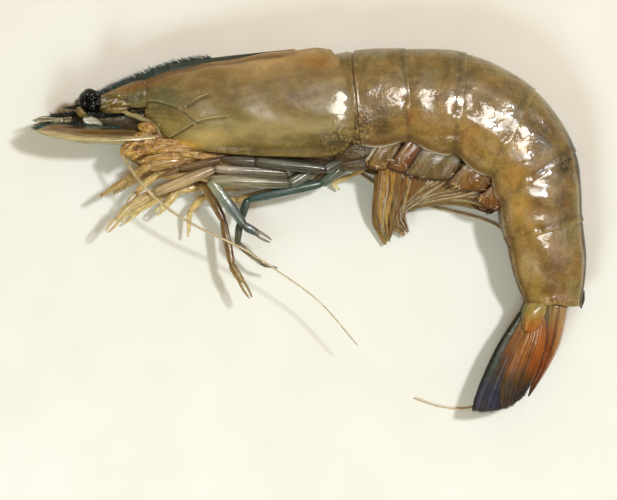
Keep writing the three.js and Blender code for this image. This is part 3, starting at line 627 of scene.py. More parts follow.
innerFanFinish = bladeFinish("innerFan", {
    "stir": (3, 4, 3), "cloudSize": (1.4, 5, 3), "cloud": 0.3, "cloudShade": "#a97c52",
    "along": [(0, "#a5803c"), (0.14, "#ad7227"), (0.28, "#ab6119"), (0.44, "#8d4c12"), (0.58, "#633c14"),
              (0.7, "#40311e"), (0.84, "#2a272c"), (1, "#363138")],
    "zones": [("medial", "#a14e14", 0.6), ("lateral", "#6b5025", 0.6)],
    "line": "#4a2c14", "glint": "#c09050", "glints": 0.2, "cuts": (2.0, 4.2), "cutDepth": 0.16,
    "edges": [("rib", "#2f2114", 0.7), ("rim", "#4e3a28", 0.4)],
    "wrinkle": 1.3, "wrinkleDepth": 0.12, "glow": 0.2, "glowDepth": 0.8, "film": 0.55,
    "shine": 0.3,
})
outerFanFinish = bladeFinish("outerFan", {
    "stir": (3, 4, 3), "cloudSize": (1.6, 5, 3), "cloud": 0.3, "cloudShade": "#a08c78",
    "along": [(0, "#8c7d42"), (0.12, "#927638"), (0.28, "#94581a"), (0.42, "#7a3f0e"), (0.56, "#4d2d12"),
              (0.7, "#2f3038"), (0.85, "#303048"), (0.94, "#3a3040"), (1, "#3f3538")],
    "zones": [("lateral", "#1c3a33", 0.9), ("violet", "#2a2f50", 0.75)],
    "line": "#2b2a26", "glint": "#8a8478", "glints": 0.15, "cuts": (2.0, 4.2), "cutDepth": 0.16,
    "edges": [("rib", "#26221d", 0.6), ("rim", "#0c1012", 0.97)],
    "wrinkle": 1.3, "wrinkleDepth": 0.12, "glow": 0.15, "glowDepth": 0.8, "film": 0.6,
    "shine": 0.3,
})
stemFinish = bladeFinish("fanStem", {
    "stir": (3, 4, 3), "cloudSize": (3, 2, 3), "cloud": 0.4, "cloudShade": "#b09a68",
    "along": [(0, "#a58f55"), (0.35, "#b39c58"), (0.62, "#b08238"), (0.8, "#b06c24"), (1, "#a8551a")],
    "zones": [("lateral", "#5f6a45", 0.7)], "line": "#6d4f20", "lines": 0.3, "glint": "#d6c088",
    "glints": 0.3,
    "edges": [("rim", "#4b4a30", 0.4)], "wrinkle": 1.4, "wrinkleDepth": 0.2, "wrinkleStrength": 0.6,
    "glowDepth": 1.0,
})
telsonFinish = bladeFinish("telsonSkin", {
    "stir": (3, 4, 3), "cloudSize": (1.6, 5, 3), "cloud": 0.35, "cloudShade": "#b08a5c",
    "along": [(0, "#a2855a"), (0.25, "#a86f38"), (0.45, "#964e1c"), (0.7, "#5f270b"), (0.88, "#351a0c"),
              (1, "#120c0a")],
    "zones": [("strip", "#8f3d0e", 0.8)],
    "line": "#4b2410", "glint": "#d0a070", "glints": 0.25, "cuts": (2.0, 2.4),
    "edges": [("rib", "#2a140a", 0.9), ("rim", "#b3905c", 0.3)],
    "wrinkle": 1.5, "wrinkleDepth": 0.15, "glowDepth": 1.0,
})
scaleFinish = bladeFinish("scaleSkin", {
    "stir": (3, 3, 3), "cloudSize": (3.5, 1.4, 2), "cloud": 0.4, "cloudShade": "#a08a5c",
    "along": [(0, "#8f7038"), (0.3, "#8a6a36"), (0.55, "#906430"), (0.75, "#a0743a"), (0.9, "#b09a6c"),
              (1, "#c4ba94")],
    "zones": [("stiff", "#dac698", 0.92), ("inner", "#3c3a24", 0.85)],
    "line": "#4a3a1c", "glint": "#e9ddbd", "glints": 0.3, "cuts": (3.0, 2.6),
    "edges": [("rim", "#8d7a4c", 0.35)],
    "wrinkle": 1.2, "wrinkleDepth": 0.14, "glow": 0.3, "glowDepth": 0.9,
})
feelerFinish = bladeFinish("shortFeeler", {
    "stir": (3, 3, 3), "cloudSize": (2.0, 1.0, 1.4), "cloud": 0.6, "cloudShade": "#7d6238",
    "along": [(0, "#4b4226"), (0.3, "#554524"), (0.52, "#6b5228"), (0.66, "#86602c"), (0.78, "#8b7a4a"),
              (1, "#c9c09a")],
    "zones": [("joint", "#2b1f0e", 0.7)], "line": "#261c0d", "glint": "#d7c79a", "glints": 0.3,
    "edges": [("topEdge", "#1a2b29", 0.85), ("hollowRim", "#12100b", 0.95), ("hollow", "#e6dfd2", 0.97)],
    "wrinkle": 0.7, "wrinkleDepth": 0.3, "wrinkleStrength": 0.8, "film": 0.7, "glowDepth": 0.8,
})


def eyeFinish():
    material, tree, shader = newFinish("eyeGloss")
    facets = node(tree, "ShaderNodeTexVoronoi", {"Vector": placed(tree, (0.3, 0.3, 0.3)), "Scale": 1.0})
    dust = ramp(tree, grainy(tree, 0.9, 4.0, 0.7, seed=2), [(0.5, "#020202"), (0.72, "#0b0a07")])
    # scattered white specks, painted highlights as glints on the wet eye
    glintSpecks = times(tree, patches(tree, (0.64, 0.68), 0.36, 2.0, 0.6, seed=6),
                   patches(tree, (0.47, 0.52), 1.6, 2.0, 0.5, seed=12))
    normal = bumpy(tree, facets.outputs["Distance"], 0.35, 0.1)
    fillShader(tree, shader, {
        "Base Color": blend(tree, marked(tree, "cuff"), blend(tree, glintSpecks, dust, "#f4f1e6"), "#5a4822"),
        "Normal": bumpy(tree, grainy(tree, 0.8, 3.0, 0.6, 0.6, seed=4), 1.0, 0.5, normal),
        "Roughness": ramp(tree, grainy(tree, 1.4, seed=7), [(0.35, 0.02), (0.7, 0.06)]),
        "IOR": 1.3, "Specular IOR Level": 0.12})
    return material


# a hair finish: two shades mixed by noise
def hairFinish(name, rootShade, tipShade):
    material, tree, shader = newFinish(name)
    fillShader(tree, shader, {
        "Base Color": ramp(tree, grainy(tree, 1.5, 2.0, seed=3), [(0.35, rootShade), (0.68, tipShade)]),
        "Roughness": ramp(tree, grainy(tree, 2.0, 1.0, seed=8), [(0.3, 0.3), (0.7, 0.5)])})
    return material


tealHair = hairFinish("tealHair", "#101c1a", "#3c6058")
tanHair = hairFinish("tanHair", "#7a5c30", "#c5a878")
darkHair = hairFinish("darkHair", "#0d0f0c", "#2a342c")


def whipFinish():
    material, tree, shader = newFinish("whipSkin")
    shades = [(0.3, "#9c8656"), (0.55, "#bfa978"), (0.75, "#d6c79c")]
    fillShader(tree, shader, {
        "Base Color": ramp(tree, grainy(tree, 2.4, 4.0, 0.6, seed=1), shades),
        "Normal": bumpy(tree, grainy(tree, 0.35, 2.0, seed=5), 0.4, 0.04),
        "Roughness": ramp(tree, grainy(tree, 1.8, 2.0, seed=2), [(0.3, 0.28), (0.7, 0.5)]),
        "Coat Weight": 0.4, "Coat Roughness": 0.15, "Subsurface Weight": 0.2, "Subsurface Scale": 0.5 * mm})
    return material


def newTree(name, inputs):
    tree = bpy.data.node_groups.new(name, "GeometryNodeTree")
    tree.interface.new_socket("Geometry", in_out="INPUT", socket_type="NodeSocketGeometry")
    for label, kind, value in inputs:
        item = tree.interface.new_socket(label, in_out="INPUT", socket_type="NodeSocket" + kind)
        if value is not None:
            item.default_value = value
    tree.interface.new_socket("Geometry", in_out="OUTPUT", socket_type="NodeSocketGeometry")
    return tree, tree.nodes.new("NodeGroupInput").outputs


# the end of a tree: real copies, smooth, in their finish
def endTree(tree, take, geometry):
    real = node(tree, "GeometryNodeRealizeInstances", {"Geometry": geometry})
    smooth = node(tree, "GeometryNodeSetShadeSmooth", {"Geometry": real.outputs[0]})
    coated = node(tree, "GeometryNodeSetMaterial", {"Geometry": smooth.outputs[0],
                                                    "Material": take["Finish"]})
    node(tree, "NodeGroupOutput", {"Geometry": coated.outputs[0]})
    return tree


def named(tree, name, kind="FLOAT"):
    return node(tree, "GeometryNodeInputNamedAttribute", {"Name": name}, data_type=kind).outputs[0]


# bristles: one bent cone on each point, along its own aim and as long as its own size
def bristleTree():
    tree, take = newTree("bristles", [
        ("Sides", "Int", 3), ("Segments", "Int", 3), ("Width", "Float", 0.04), ("Bend", "Float", 0.25),
        ("Spread", "Float", 0.2), ("Uneven", "Float", 0.3), ("Seed", "Int", 1), ("Finish", "Material", None)])
    cone = node(tree, "GeometryNodeMeshCone", {
        "Vertices": take["Sides"], "Side Segments": take["Segments"], "Radius Top": 0.004,
        "Radius Bottom": take["Width"], "Depth": 1.0}, fill_type="TRIANGLE_FAN")
    place = node(tree, "GeometryNodeInputPosition").outputs[0]
    height = node(tree, "ShaderNodeSeparateXYZ", {0: place}).outputs[2]
    lean = times(tree, times(tree, height, height), take["Bend"])
    shift = node(tree, "ShaderNodeCombineXYZ", {0: lean}).outputs[0]
    bent = node(tree, "GeometryNodeSetPosition", {"Geometry": cone.outputs[0], "Offset": shift})
    stray = node(tree, "FunctionNodeRandomValue", {0: (-1.0, -1.0, -1.0), 1: (1.0, 1.0, 1.0),
                                                   "Seed": take["Seed"]},
                 data_type="FLOAT_VECTOR").outputs[0]
    strayed = node(tree, "ShaderNodeVectorMath", {0: stray, 3: take["Spread"]}, operation="SCALE").outputs[0]
    aim = named(tree, "aim", "FLOAT_VECTOR")
    way = node(tree, "ShaderNodeVectorMath", {0: aim, 1: strayed}, operation="ADD").outputs[0]
    turned = node(tree, "FunctionNodeAlignRotationToVector", {"Vector": way}, axis="Z").outputs[0]
    roll = node(tree, "FunctionNodeRandomValue", {2: 0.0, 3: 6.283, "Seed": take["Seed"]}, data_type="FLOAT")
    spin = node(tree, "ShaderNodeCombineXYZ", {2: roll.outputs[1]}).outputs[0]
    rolled = node(tree, "FunctionNodeRotateRotation", {0: turned, 1: spin}, rotation_space="LOCAL").outputs[0]
    least, most = (calc(tree, kind, 1.0, take["Uneven"]) for kind in ("SUBTRACT", "ADD"))
    vary = node(tree, "FunctionNodeRandomValue", {2: least, 3: most, "Seed": take["Seed"]}, data_type="FLOAT")
    length = times(tree, named(tree, "size"), vary.outputs[1])
    copies = node(tree, "GeometryNodeInstanceOnPoints", {
        "Points": take["Geometry"], "Instance": bent.outputs[0], "Rotation": rolled, "Scale": length})
    return endTree(tree, take, copies.outputs[0])


# feelers: a tube along a line of points, as thick as each point says, with fine rings
def feelerTree():
    tree, take = newTree("feeler", [("Sides", "Int", 8), ("Rings", "Float", 0.12),
                                    ("Finish", "Material", None)])
    line = node(tree, "GeometryNodeMeshToCurve", {"Mesh": take["Geometry"]})
    odd = calc(tree, "MODULO", node(tree, "GeometryNodeInputIndex").outputs[0], 2.0)
    swell = calc(tree, "SUBTRACT", 1.0, times(tree, odd, take["Rings"]))
    outline = node(tree, "GeometryNodeCurvePrimitiveCircle", {"Resolution": take["Sides"], "Radius": 1.0})
    tube = node(tree, "GeometryNodeCurveToMesh", {
        "Curve": line.outputs[0], "Profile Curve": outline.outputs[0],
        "Scale": times(tree, named(tree, "girth"), swell), "Fill Caps": True})
    return endTree(tree, take, tube.outputs[0])


# runs a tree on a host mesh and keeps the plain result
def grow(name, host, tree, values):
    maker = bpy.data.objects.new(name + ".maker", host)
    bpy.context.scene.collection.objects.link(maker)
    modifier = maker.modifiers.new("grow", "NODES")
    modifier.node_group = tree
    for item in tree.interface.items_tree:
        if item.item_type == "SOCKET" and item.in_out == "INPUT" and item.name in values:
            modifier[item.identifier] = values[item.name]
    mesh = bpy.data.meshes.new_from_object(maker.evaluated_get(bpy.context.evaluated_depsgraph_get()))
    bpy.data.objects.remove(maker)
    mesh.name = name
    piece = bpy.data.objects.new(name, mesh)
    bpy.context.scene.collection.objects.link(piece)
    return piece


bristleNodes = bristleTree()
feelerNodes = feelerTree()


def emptyHairs():
    return {"at": [], "aim": [], "size": []}


# hairs at points, each with its direction and length
def addHairs(hairs, at, aim, size):
    hairs["at"].append(np.asarray(at, float))
    hairs["aim"].append(unit(np.asarray(aim, float)))
    hairs["size"].append(np.broadcast_to(np.asarray(size, float), (len(at),)))


def growHairs(name, hairs, slotName, values):
    host = bpy.data.meshes.new(name + ".points")
    at = np.vstack(hairs["at"])
    host.from_pydata((at * mm).tolist(), [], [])
    host.attributes.new("aim", "FLOAT_VECTOR", "POINT").data.foreach_set(
        "vector", np.vstack(hairs["aim"]).astype(np.float32).ravel())
    host.attributes.new("size", "FLOAT", "POINT").data.foreach_set(
        "value", (np.concatenate(hairs["size"]) * mm).astype(np.float32))
    piece = grow(name, host, bristleNodes, values)
    settle(piece, slotName)
    print(name, len(at), "->", len(piece.data.polygons), "faces")


# number of hairs, length, lean along the edge, and the shares of the edge where they start and end
fringes = {
    "crest": (1000, 1.5, 0.4, 0.1, 1.0), "sidePlate": (60, 0.55, 0.3, 0.05, 0.95),
    "scale": (520, 1.9, 1.0, 0.2, 0.98), "feeler": (760, 2.0, 1.1, 0.3, 0.97),
    "swimBlade": (90, 0.7, 2.2, 0.4, 0.99), "fanEnd": (160, 0.6, 0.1, 0.0, 1.0),
}


# a fringe along an edge: count hairs between two shares of the edge, leaning along it
def fringe(hairs, edge, out, count, size, lean=0.4, start=0.0, end=1.0, seed=0):
    draw = np.random.default_rng(seed)
    s = np.sort(draw.uniform(start, end, count)) * (len(edge) - 1)
    i = np.minimum(s.astype(int), len(edge) - 2)
    w = (s - i)[:, None]
    along = unit(edge[i + 1] - edge[i])
    addHairs(hairs, edge[i] * (1 - w) + edge[i + 1] * w, out[i] * (1 - w) + out[i + 1] * w + along * lean,
             size)


wallAngle = math.radians(142)
wallPower = 0.92


# the ring round one section: out of the left free edge, over the back to the right one,
# and under the body; "around" is 0 on the back, 1 at a free edge and more underneath
def shellOutline(recess, wallSteps, underSteps):
    angle = np.arange(wallSteps, -wallSteps - 1, -1) / wallSteps * wallAngle
    across = np.sign(angle) * np.abs(np.sin(angle)) ** wallPower
    rise = 1 - 2 * (1 - np.cos(angle)) / (1 - math.cos(wallAngle))
    share = np.arange(1, underSteps) / underSteps
    x = np.concatenate([across, across[0] * (2 * share - 1)])
    y = np.concatenate([rise, 2 * recess * np.sin(math.pi * share) ** 0.6 - 1])
    around = np.concatenate([np.abs(angle) / wallAngle, 1 + 0.5 * np.sin(math.pi * share)])
    outX = 1.5 * (np.roll(y, -1) - np.roll(y, 1))
    outY = np.roll(x, 1) - np.roll(x, -1)
    length = np.hypot(outX, outY)
    return {"x": x, "y": y, "outX": outX / length, "outY": outY / length, "around": around}


def runThrough(stations, t):
    back = through([[*s["back"], s["mid"]] for s in stations], t)
    edge = through([[*s["edge"], s["mid"]] for s in stations], t)
    half = through([[s["half"], 0, 0] for s in stations], t)[:, 0]
    return back, edge, half


def sectionPoints(back, edge, half, outline, size=1.0, grow=0.0):
    rise = back - edge
    length = np.linalg.norm(rise, axis=1)
    lift = outline["y"] * (length / 2)[:, None] * size + outline["outY"] * grow
    side = outline["x"] * half[:, None] * size + outline["outX"] * grow
    return (edge + rise / 2)[:, None] + unit(rise)[:, None] * lift[..., None] + up * side[..., None]


def onTable(grid):
    grid[..., 2] = np.maximum(grid[..., 2], 0.0)
    return grid


def station(back, edge, half, mid=midline):
    return {"back": back, "edge": edge, "half": half, "mid": mid}


carapace = {
    "stations": [
        station([-47.9, 41.3], [-45.4, 30.3], 4.6), station([-43.8, 42.6], [-41.2, 26.1], 6.3),
        station([-38.2, 44.2], [-38.3, 23.4], 7.6), station([-30.4, 46.0], [-30.4, 21.9], 8.8),
        station([-19.3, 47.9], [-19.3, 20.6], 9.7), station([-6.8, 49.9], [-6.8, 20.1], 10.2),
        station([1.5, 50.4], [3.0, 20.1], 10.2), station([5.8, 50.1], [8.6, 21.3], 9.9),
    ],
    "rearBulge": 6.6, "rearFall": 1.2, "recess": 0.22, "rows": 200, "wallSteps": 118, "underSteps": 20,
    # raised lines and creases of the flank: path, width, height
    "ridges": [
        ([[-33.2, 34.4], [-30.8, 36.2], [-28.4, 37.3]], 0.24, 0.3),
        ([[-31.2, 29.8], [-28.6, 30.5], [-26.0, 30.9], [-22.6, 31.2]], 0.24, 0.34),
        ([[-31.8, 29.4], [-35.0, 27.5], [-38.9, 25.4]], 0.28, 0.34),
        ([[-46.0, 35.6], [-42.4, 35.7], [-39.6, 34.9], [-36.2, 33.8]], 0.22, 0.18),
        ([[-36.2, 33.8], [-33.8, 31.8], [-31.2, 29.8]], 0.3, 0.26),
    ],
    "creases": [
        ([[-33.6, 33.8], [-30.8, 35.6], [-28.2, 36.7]], 0.36, 0.26),
        ([[-35.2, 32.8], [-32.8, 30.8], [-31.0, 29.3]], 0.4, 0.36),
        ([[-30.8, 29.2], [-27.4, 30.1], [-23.0, 30.6]], 0.36, 0.22),
        ([[-32.0, 28.8], [-35.2, 26.9], [-39.0, 24.8]], 0.36, 0.3),
        ([[-46.4, 35.0], [-42.4, 35.1], [-39.4, 34.3], [-36.4, 33.2]], 0.36, 0.26),
        ([[-45.6, 33.2], [-41.0, 33.3], [-37.6, 32.6]], 0.25, 0.14),
        ([[-45.4, 31.9], [-41.0, 32.0], [-37.0, 31.3]], 0.25, 0.12),
        ([[-45.0, 30.8], [-40.6, 30.8], [-36.4, 30.0]], 0.25, 0.12),
        ([[-44.0, 37.6], [-40.0, 38.2], [-36.0, 38.0]], 0.3, 0.1),
        ([[-47.0, 40.0], [-42.0, 41.9], [-33.0, 44.4], [-20.0, 46.3], [-8.0, 47.9]], 0.45, 0.16),
    ],
    # long faint furrows along the gill cover
    "furrows": [([[-24, 22.9], [-10, 22.3], [4, 23.0]], 0.5, 0.07),
                ([[-20, 24.8], [-6, 24.6], [6, 26.0]], 0.45, 0.06)],
}


def carapaceGrid():
    shape = carapace
    outline = shellOutline(shape["recess"], shape["wallSteps"], shape["underSteps"])
    t = np.linspace(0, 1, shape["rows"])
    run = runThrough(shape["stations"], t)
    bulge = ease(t, 0.6, 1)[:, None] * shape["rearBulge"]
    bulge = bulge * np.maximum(0, 1 - ((outline["y"] + 0.05) / 1.05) ** 2)
    plain = sectionPoints(*run, outline)
    x, y = plain[..., 0] + bulge, plain[..., 1]
    wall = np.broadcast_to(outline["around"] <= 1, x.shape)
    marks = {name: np.zeros(x.shape) for name in ("ridge", "groove")}
    relief = 0.4 * waves(plain, 11, 1) + 0.06 * waves(plain, 3.5, 2)
    broken = 0.35 + 0.65 * ease(waves(plain, 2.4, 12), -0.3, 0.35)  # the raised lines fade in and out
    # the raised lines are painted pale where they stand out, as highlights
    for path, width, height in shape["ridges"]:
        line = bell(farFrom(x, y, path), width)
        relief = relief + height * line
        marks["ridge"] = np.maximum(marks["ridge"], line * broken)
    # creases and furrows are painted darker, as shade in them
    for path, width, depth in shape["creases"] + shape["furrows"]:
        line = bell(farFrom(x, y, path), width)
        relief = relief - depth * line
        marks["groove"] = np.maximum(marks["groove"], line * min(1, depth / 0.3))
    around = np.broadcast_to(outline["around"], x.shape)
    rows = np.broadcast_to(t[:, None], x.shape)
    # rolled rims at the free edge, the rear and the front
    edgeRim = bell(around - 0.975, 0.022)
    rearRim = bell(rows - 0.988, 0.010)
    frontRim = bell(rows - 0.012, 0.012) * (around < 1.02)
    # the pale line along the front edge is a painted highlight
    lowFront = ease(y, 32.0, 30.5)  # only below the eye does the front edge show as a pale line
    relief = relief + 0.14 * edgeRim + 0.1 * rearRim + 0.3 * frontRim * lowFront
    relief = relief - 0.1 * bell(around - 0.925, 0.02) - 0.06 * bell(rows - 0.962, 0.012) * (around < 1)
    relief = relief - shape["rearFall"] * ease(rows, 0.84, 1.0) ** 2 * ease(around, 0.02, 0.3) * (around < 1)
    marks["ridge"] = np.maximum(marks["ridge"] * (1 - marks["groove"] * 0.4),
                                0.9 * frontRim * lowFront * broken)
    marks["rim"] = np.maximum(edgeRim * 0.6, rearRim)
    marks["crest"] = ease(around, 0.028, 0.012) * ease(rows, 1.0, 0.9) * 0.8
    marks["stripe"] = bell(farFrom(x, y, [[-55, 37.9], [-44, 41.8], [-33, 44.9], [-20, 46.9], [-4, 48.9]]),
                           0.8)
    marks["around"] = around
    # the underside of the shell is painted dark, as shade
    marks["inside"] = ease(around, 1.0, 1.06)
    grid = sectionPoints(*run, outline, 1.0, relief * np.where(wall, 1, 0.3))
    grid[..., 0] += bulge + 1.9 * bell(y - 35.0, 2.0) * ease(rows, 0.07, 0)
    return onTable(grid), marks


rostrum = {
    "top": [[-4, 50.3], [-26.2, 47.9], [-38.8, 45.8], [-51.2, 41.0], [-57.4, 37.9], [-62.9, 35.3],
            [-68.5, 34.1]],
    "under": [[-68.5, 33.8], [-61.5, 33.2], [-55.4, 34.2], [-47.1, 35.8], [-38, 39], [-4, 46]],
    "thickness": 1.5, "teeth": 11, "toothHeight": 0.55, "toothRange": [0.30, 0.90],
    "rows": 620, "cols": 30,
}


# the even spline of the rostrum's outline, held at its ends
def evenSpline(stops, t):
    p = np.asarray(stops, float)
    last = len(p) - 1
    s = np.clip(np.asarray(t, float), 0, 1) * last
    i = np.minimum(s.astype(int), last - 1)
    w = (s - i)[:, None]
    a, b, c, d = (p[np.clip(i + k, 0, last)] for k in (-1, 0, 1, 2))
    out, into = (c - a) / 2, (d - b) / 2
    return b + out * w + (3 * (c - b) - 2 * out - into) * w ** 2 + (2 * (b - c) + out + into) * w ** 3


def rostrumGrid():
    shape = rostrum
    fine = np.linspace(0, 1, 400)
    top = evenSpline(shape["top"], fine)[::-1]
    under = evenSpline(shape["under"], fine)
    x = np.linspace(-4, -68.5, shape["rows"])
    topY = np.interp(x, top[:, 0], top[:, 1])
    underY = np.minimum(np.interp(x, under[:, 0], under[:, 1]), topY - 0.1)
    first, last = shape["toothRange"]
    pitch = (last - first) / shape["teeth"]
    saw = []
    for i in range(shape["teeth"]):
        begin = first + i * pitch
        for share, height in ((0, 0.0), (0.3, 0.2), (0.62, 1.0), (0.68, 0.05)):
            saw.append((evenSpline(shape["top"], [begin + pitch * share])[0][0],
                        height * shape["toothHeight"]))
    sawX, sawY = np.array(sorted(saw)).T
    tooth = np.interp(x, sawX, sawY, left=0, right=0)
    turn = np.linspace(0, 2 * math.pi, shape["cols"], endpoint=False)
    high = (1 - np.cos(turn)) / 2  # 0 at the lower edge, 1 at the crest
    which = np.sign(np.sin(turn))
    flesh = 0.35 + 0.65 * np.sin(math.pi * np.clip(high, 0, 1)) ** 0.6
    flesh = flesh * (1 - 0.35 * bell(high - 0.62, 0.1)) * (1 - 0.55 * ease(high, 0.7, 1.0))
    flesh = np.where(np.abs(which) < 0.5, 0, flesh)
    toTip = np.clip((x + 68.5) / 64.5, 0, 1)
    thick = shape["thickness"] * np.clip(0.3 + 2 * toTip, 0.3, 1)
    y = underY[:, None] + (topY - underY)[:, None] * high + tooth[:, None] * ease(high, 0.72, 1.0)
    z = midline + which * flesh * thick[:, None] / 2
    lean = -0.9 * (tooth / shape["toothHeight"])[:, None] ** 2 * ease(high, 0.8, 1.0)
    grid = np.stack([x[:, None] + lean, y, z], axis=-1)
    crest = ease(high, 0.60, 0.72)[None, :] * np.ones((len(x), 1))
    tip = ease(x, -57, -63)[:, None]
    # the groove along the blade, where it thins, is painted dark as shade
    marks = {"crest": np.maximum(crest * ease(x, -4, -12)[:, None], tip),
             "around": np.full(grid.shape[:2], 0.05),
             "stripe": bell(high - 0.5, 0.12)[None, :] * ease(x, -62, -52)[:, None],
             "groove": 0.6 * bell(high - 0.62, 0.05)[None, :] * np.ones((len(x), 1))}
    return grid, marks


# where the rostrum's foot widens to the width of the head, over the eyes
roof = {
    "stations": [
        station([-45.2, 42.0], [-44.8, 33.8], 5.5), station([-48.4, 41.6], [-48.0, 33.6], 5.3),
        station([-52.0, 40.2], [-51.8, 33.6], 4.7), station([-55.6, 38.5], [-55.4, 34.0], 3.2),
        station([-59.0, 37.0], [-58.8, 34.5], 0.9),
    ],
    "recess": 0.1, "rows": 60, "wallSteps": 30, "underSteps": 10,
}
# the brow ridge that runs from the front edge over the foot of the scale; its outer face is painted
# pale as a highlight and its inner face dark as shade
brow = [[-53.0, 33.0, 4.0, 0.3], [-50.6, 32.3, 4.6, 0.6], [-47.6, 31.2, 5.1, 0.7], [-44.4, 29.9, 5.3, 0.65],
        [-42.2, 28.2, 5.4, 0.55], [-40.9, 25.8, 5.6, 0.4]]


def roofGrid():
    outline = shellOutline(roof["recess"], roof["wallSteps"], roof["underSteps"])
    run = runThrough(roof["stations"], np.linspace(0, 1, roof["rows"]))
    relief = uneven(sectionPoints(*run, outline), [(0.25, 3.2, 41), (0.12, 1.4, 42)])
    grid = sectionPoints(*run, outline, 1.0, relief * (outline["around"] > 0.2))
    around = outline["around"] * 0.72
    return grid, {"around": around, "crest": 0.8 * ease(around, 0.22, 0.08),
                  "stripe": 0.5 * bell(around - 0.3, 0.05), "groove": 0.6 * bell(around - 0.5, 0.03)}


def makeCarapace(hairs):
    shape = emptyShape()
    addRings(shape, *roofGrid())
    for side in sides.values():
        grid, marks, _ = sweepRings(
            sided(brow, side), *fineness["brow"], ends=(0.1, 0.1),
            relief=lambda t, a: 0.1 * np.sin(9 * t * math.pi + a) + 0.07 * np.sin(31 * t + 3 * a))
        # outer face painted pale, a highlight; inner face painted dark, shade
        high = marks["high"] * side
        addRings(shape, grid, {
            "ridge": 0.7 * ease(high, 0.2, 0.8), "groove": ease(high, 0.3, -0.4), "around": 0.6})
    grid, marks = carapaceGrid()
    # the front opening: a thin lip, then a hollow behind it, painted dark as shade
    front = grid[0]
    centre = front.mean(0)
    lip = centre + (front - centre) * 0.9 + [0.4, 0, 0]
    hollow = centre + (front - centre) * 0.8 + [2.2, 0, 0]
    grid = np.concatenate([hollow[None], lip[None], grid])
    marks = {name: np.concatenate([value[:1], value[:1], value]) for name, value in marks.items()}
    marks["inside"][:2] = [[1], [0.8]]
    marks["ridge"][:2] = 0
    addRings(shape, grid, marks)
    addRings(shape, *rostrumGrid())
    finishMesh("carapace_shell", shape, headFinish, "head_shell", "carapace")
    # short hairs between the teeth, lying forward
    crest = evenSpline(rostrum["top"], np.linspace(0.1, 0.86, 90))
    crest = np.column_stack([crest, np.full(len(crest), midline)])
    fringe(hairs, crest, np.tile([-0.55, 0.8, 0.1], (len(crest), 1)), *fringes["crest"], seed=77)


abdomen = {
    "stations": [
        station([6.2, 48.9], [11.4, 23.8], 9.3), station([14.0, 50.2], [18.8, 23.4], 9.8),
        station([26.2, 50.4], [27.9, 24.4], 10.1), station([43.2, 49.2], [40.7, 20.6], 10.1),
        station([62.4, 39.2], [49.9, 14.6], 9.6, 9.7), station([73.9, 22.2], [52.6, 7.5], 8.8, 9.4),
        station([76.0, 3.0], [55.2, -3.8], 7.8, 8.9), station([77.1, -8.6], [57.1, -11.6], 6.9, 8.5),
        station([75.8, -20.3], [60.1, -20.0], 5.2, 8.2),
    ],
    "spans": [[0, 2], [2, 3], [3, 4], [4, 5], [5, 6], [6, 8]],
    "length": 110,  # about how long the six rings are together
    # one number per ring: how far the free edge hangs, how wavy the plate is, how pale its rear rim
    # is from the back to mid flank, how dark its seam, painted as shade in the dip there, how smudged
    # the seam, how strong the painted highlight along the lip
    "drop": [0.8, 2.0, 1.8, 1.2, 0.8, 0.2], "wave": [0.2, 0.3, 0.4, 0.45, 0.45, 0.45],
    "paleSeam": [0.0, 0.25, 0.9, 0.6, 0.8, 0.15], "seam": [0.4, 0.4, 0.4, 0.4, 0.4, 0.0],
    "smudge": [0.8, 0.9, 0.4, 0.3, 0.3, 0.0], "lip": [1.0, 1.0, 0.8, 0.3, 0.3, 0.1],
    "flare": 0.012, "recess": 0.26, "groove": 0.05, "overlap": 0.45, "swell": 0.35,
    "spine": [[75.4, -16.5, 8.3, 1.2], [75.7, -19.6, 8.3, 0.9], [75.6, -21.9, 8.3, 0.12]],
    "rows": [96, 76, 84, 84, 76, 90], "wallSteps": 92, "underSteps": 14,
}


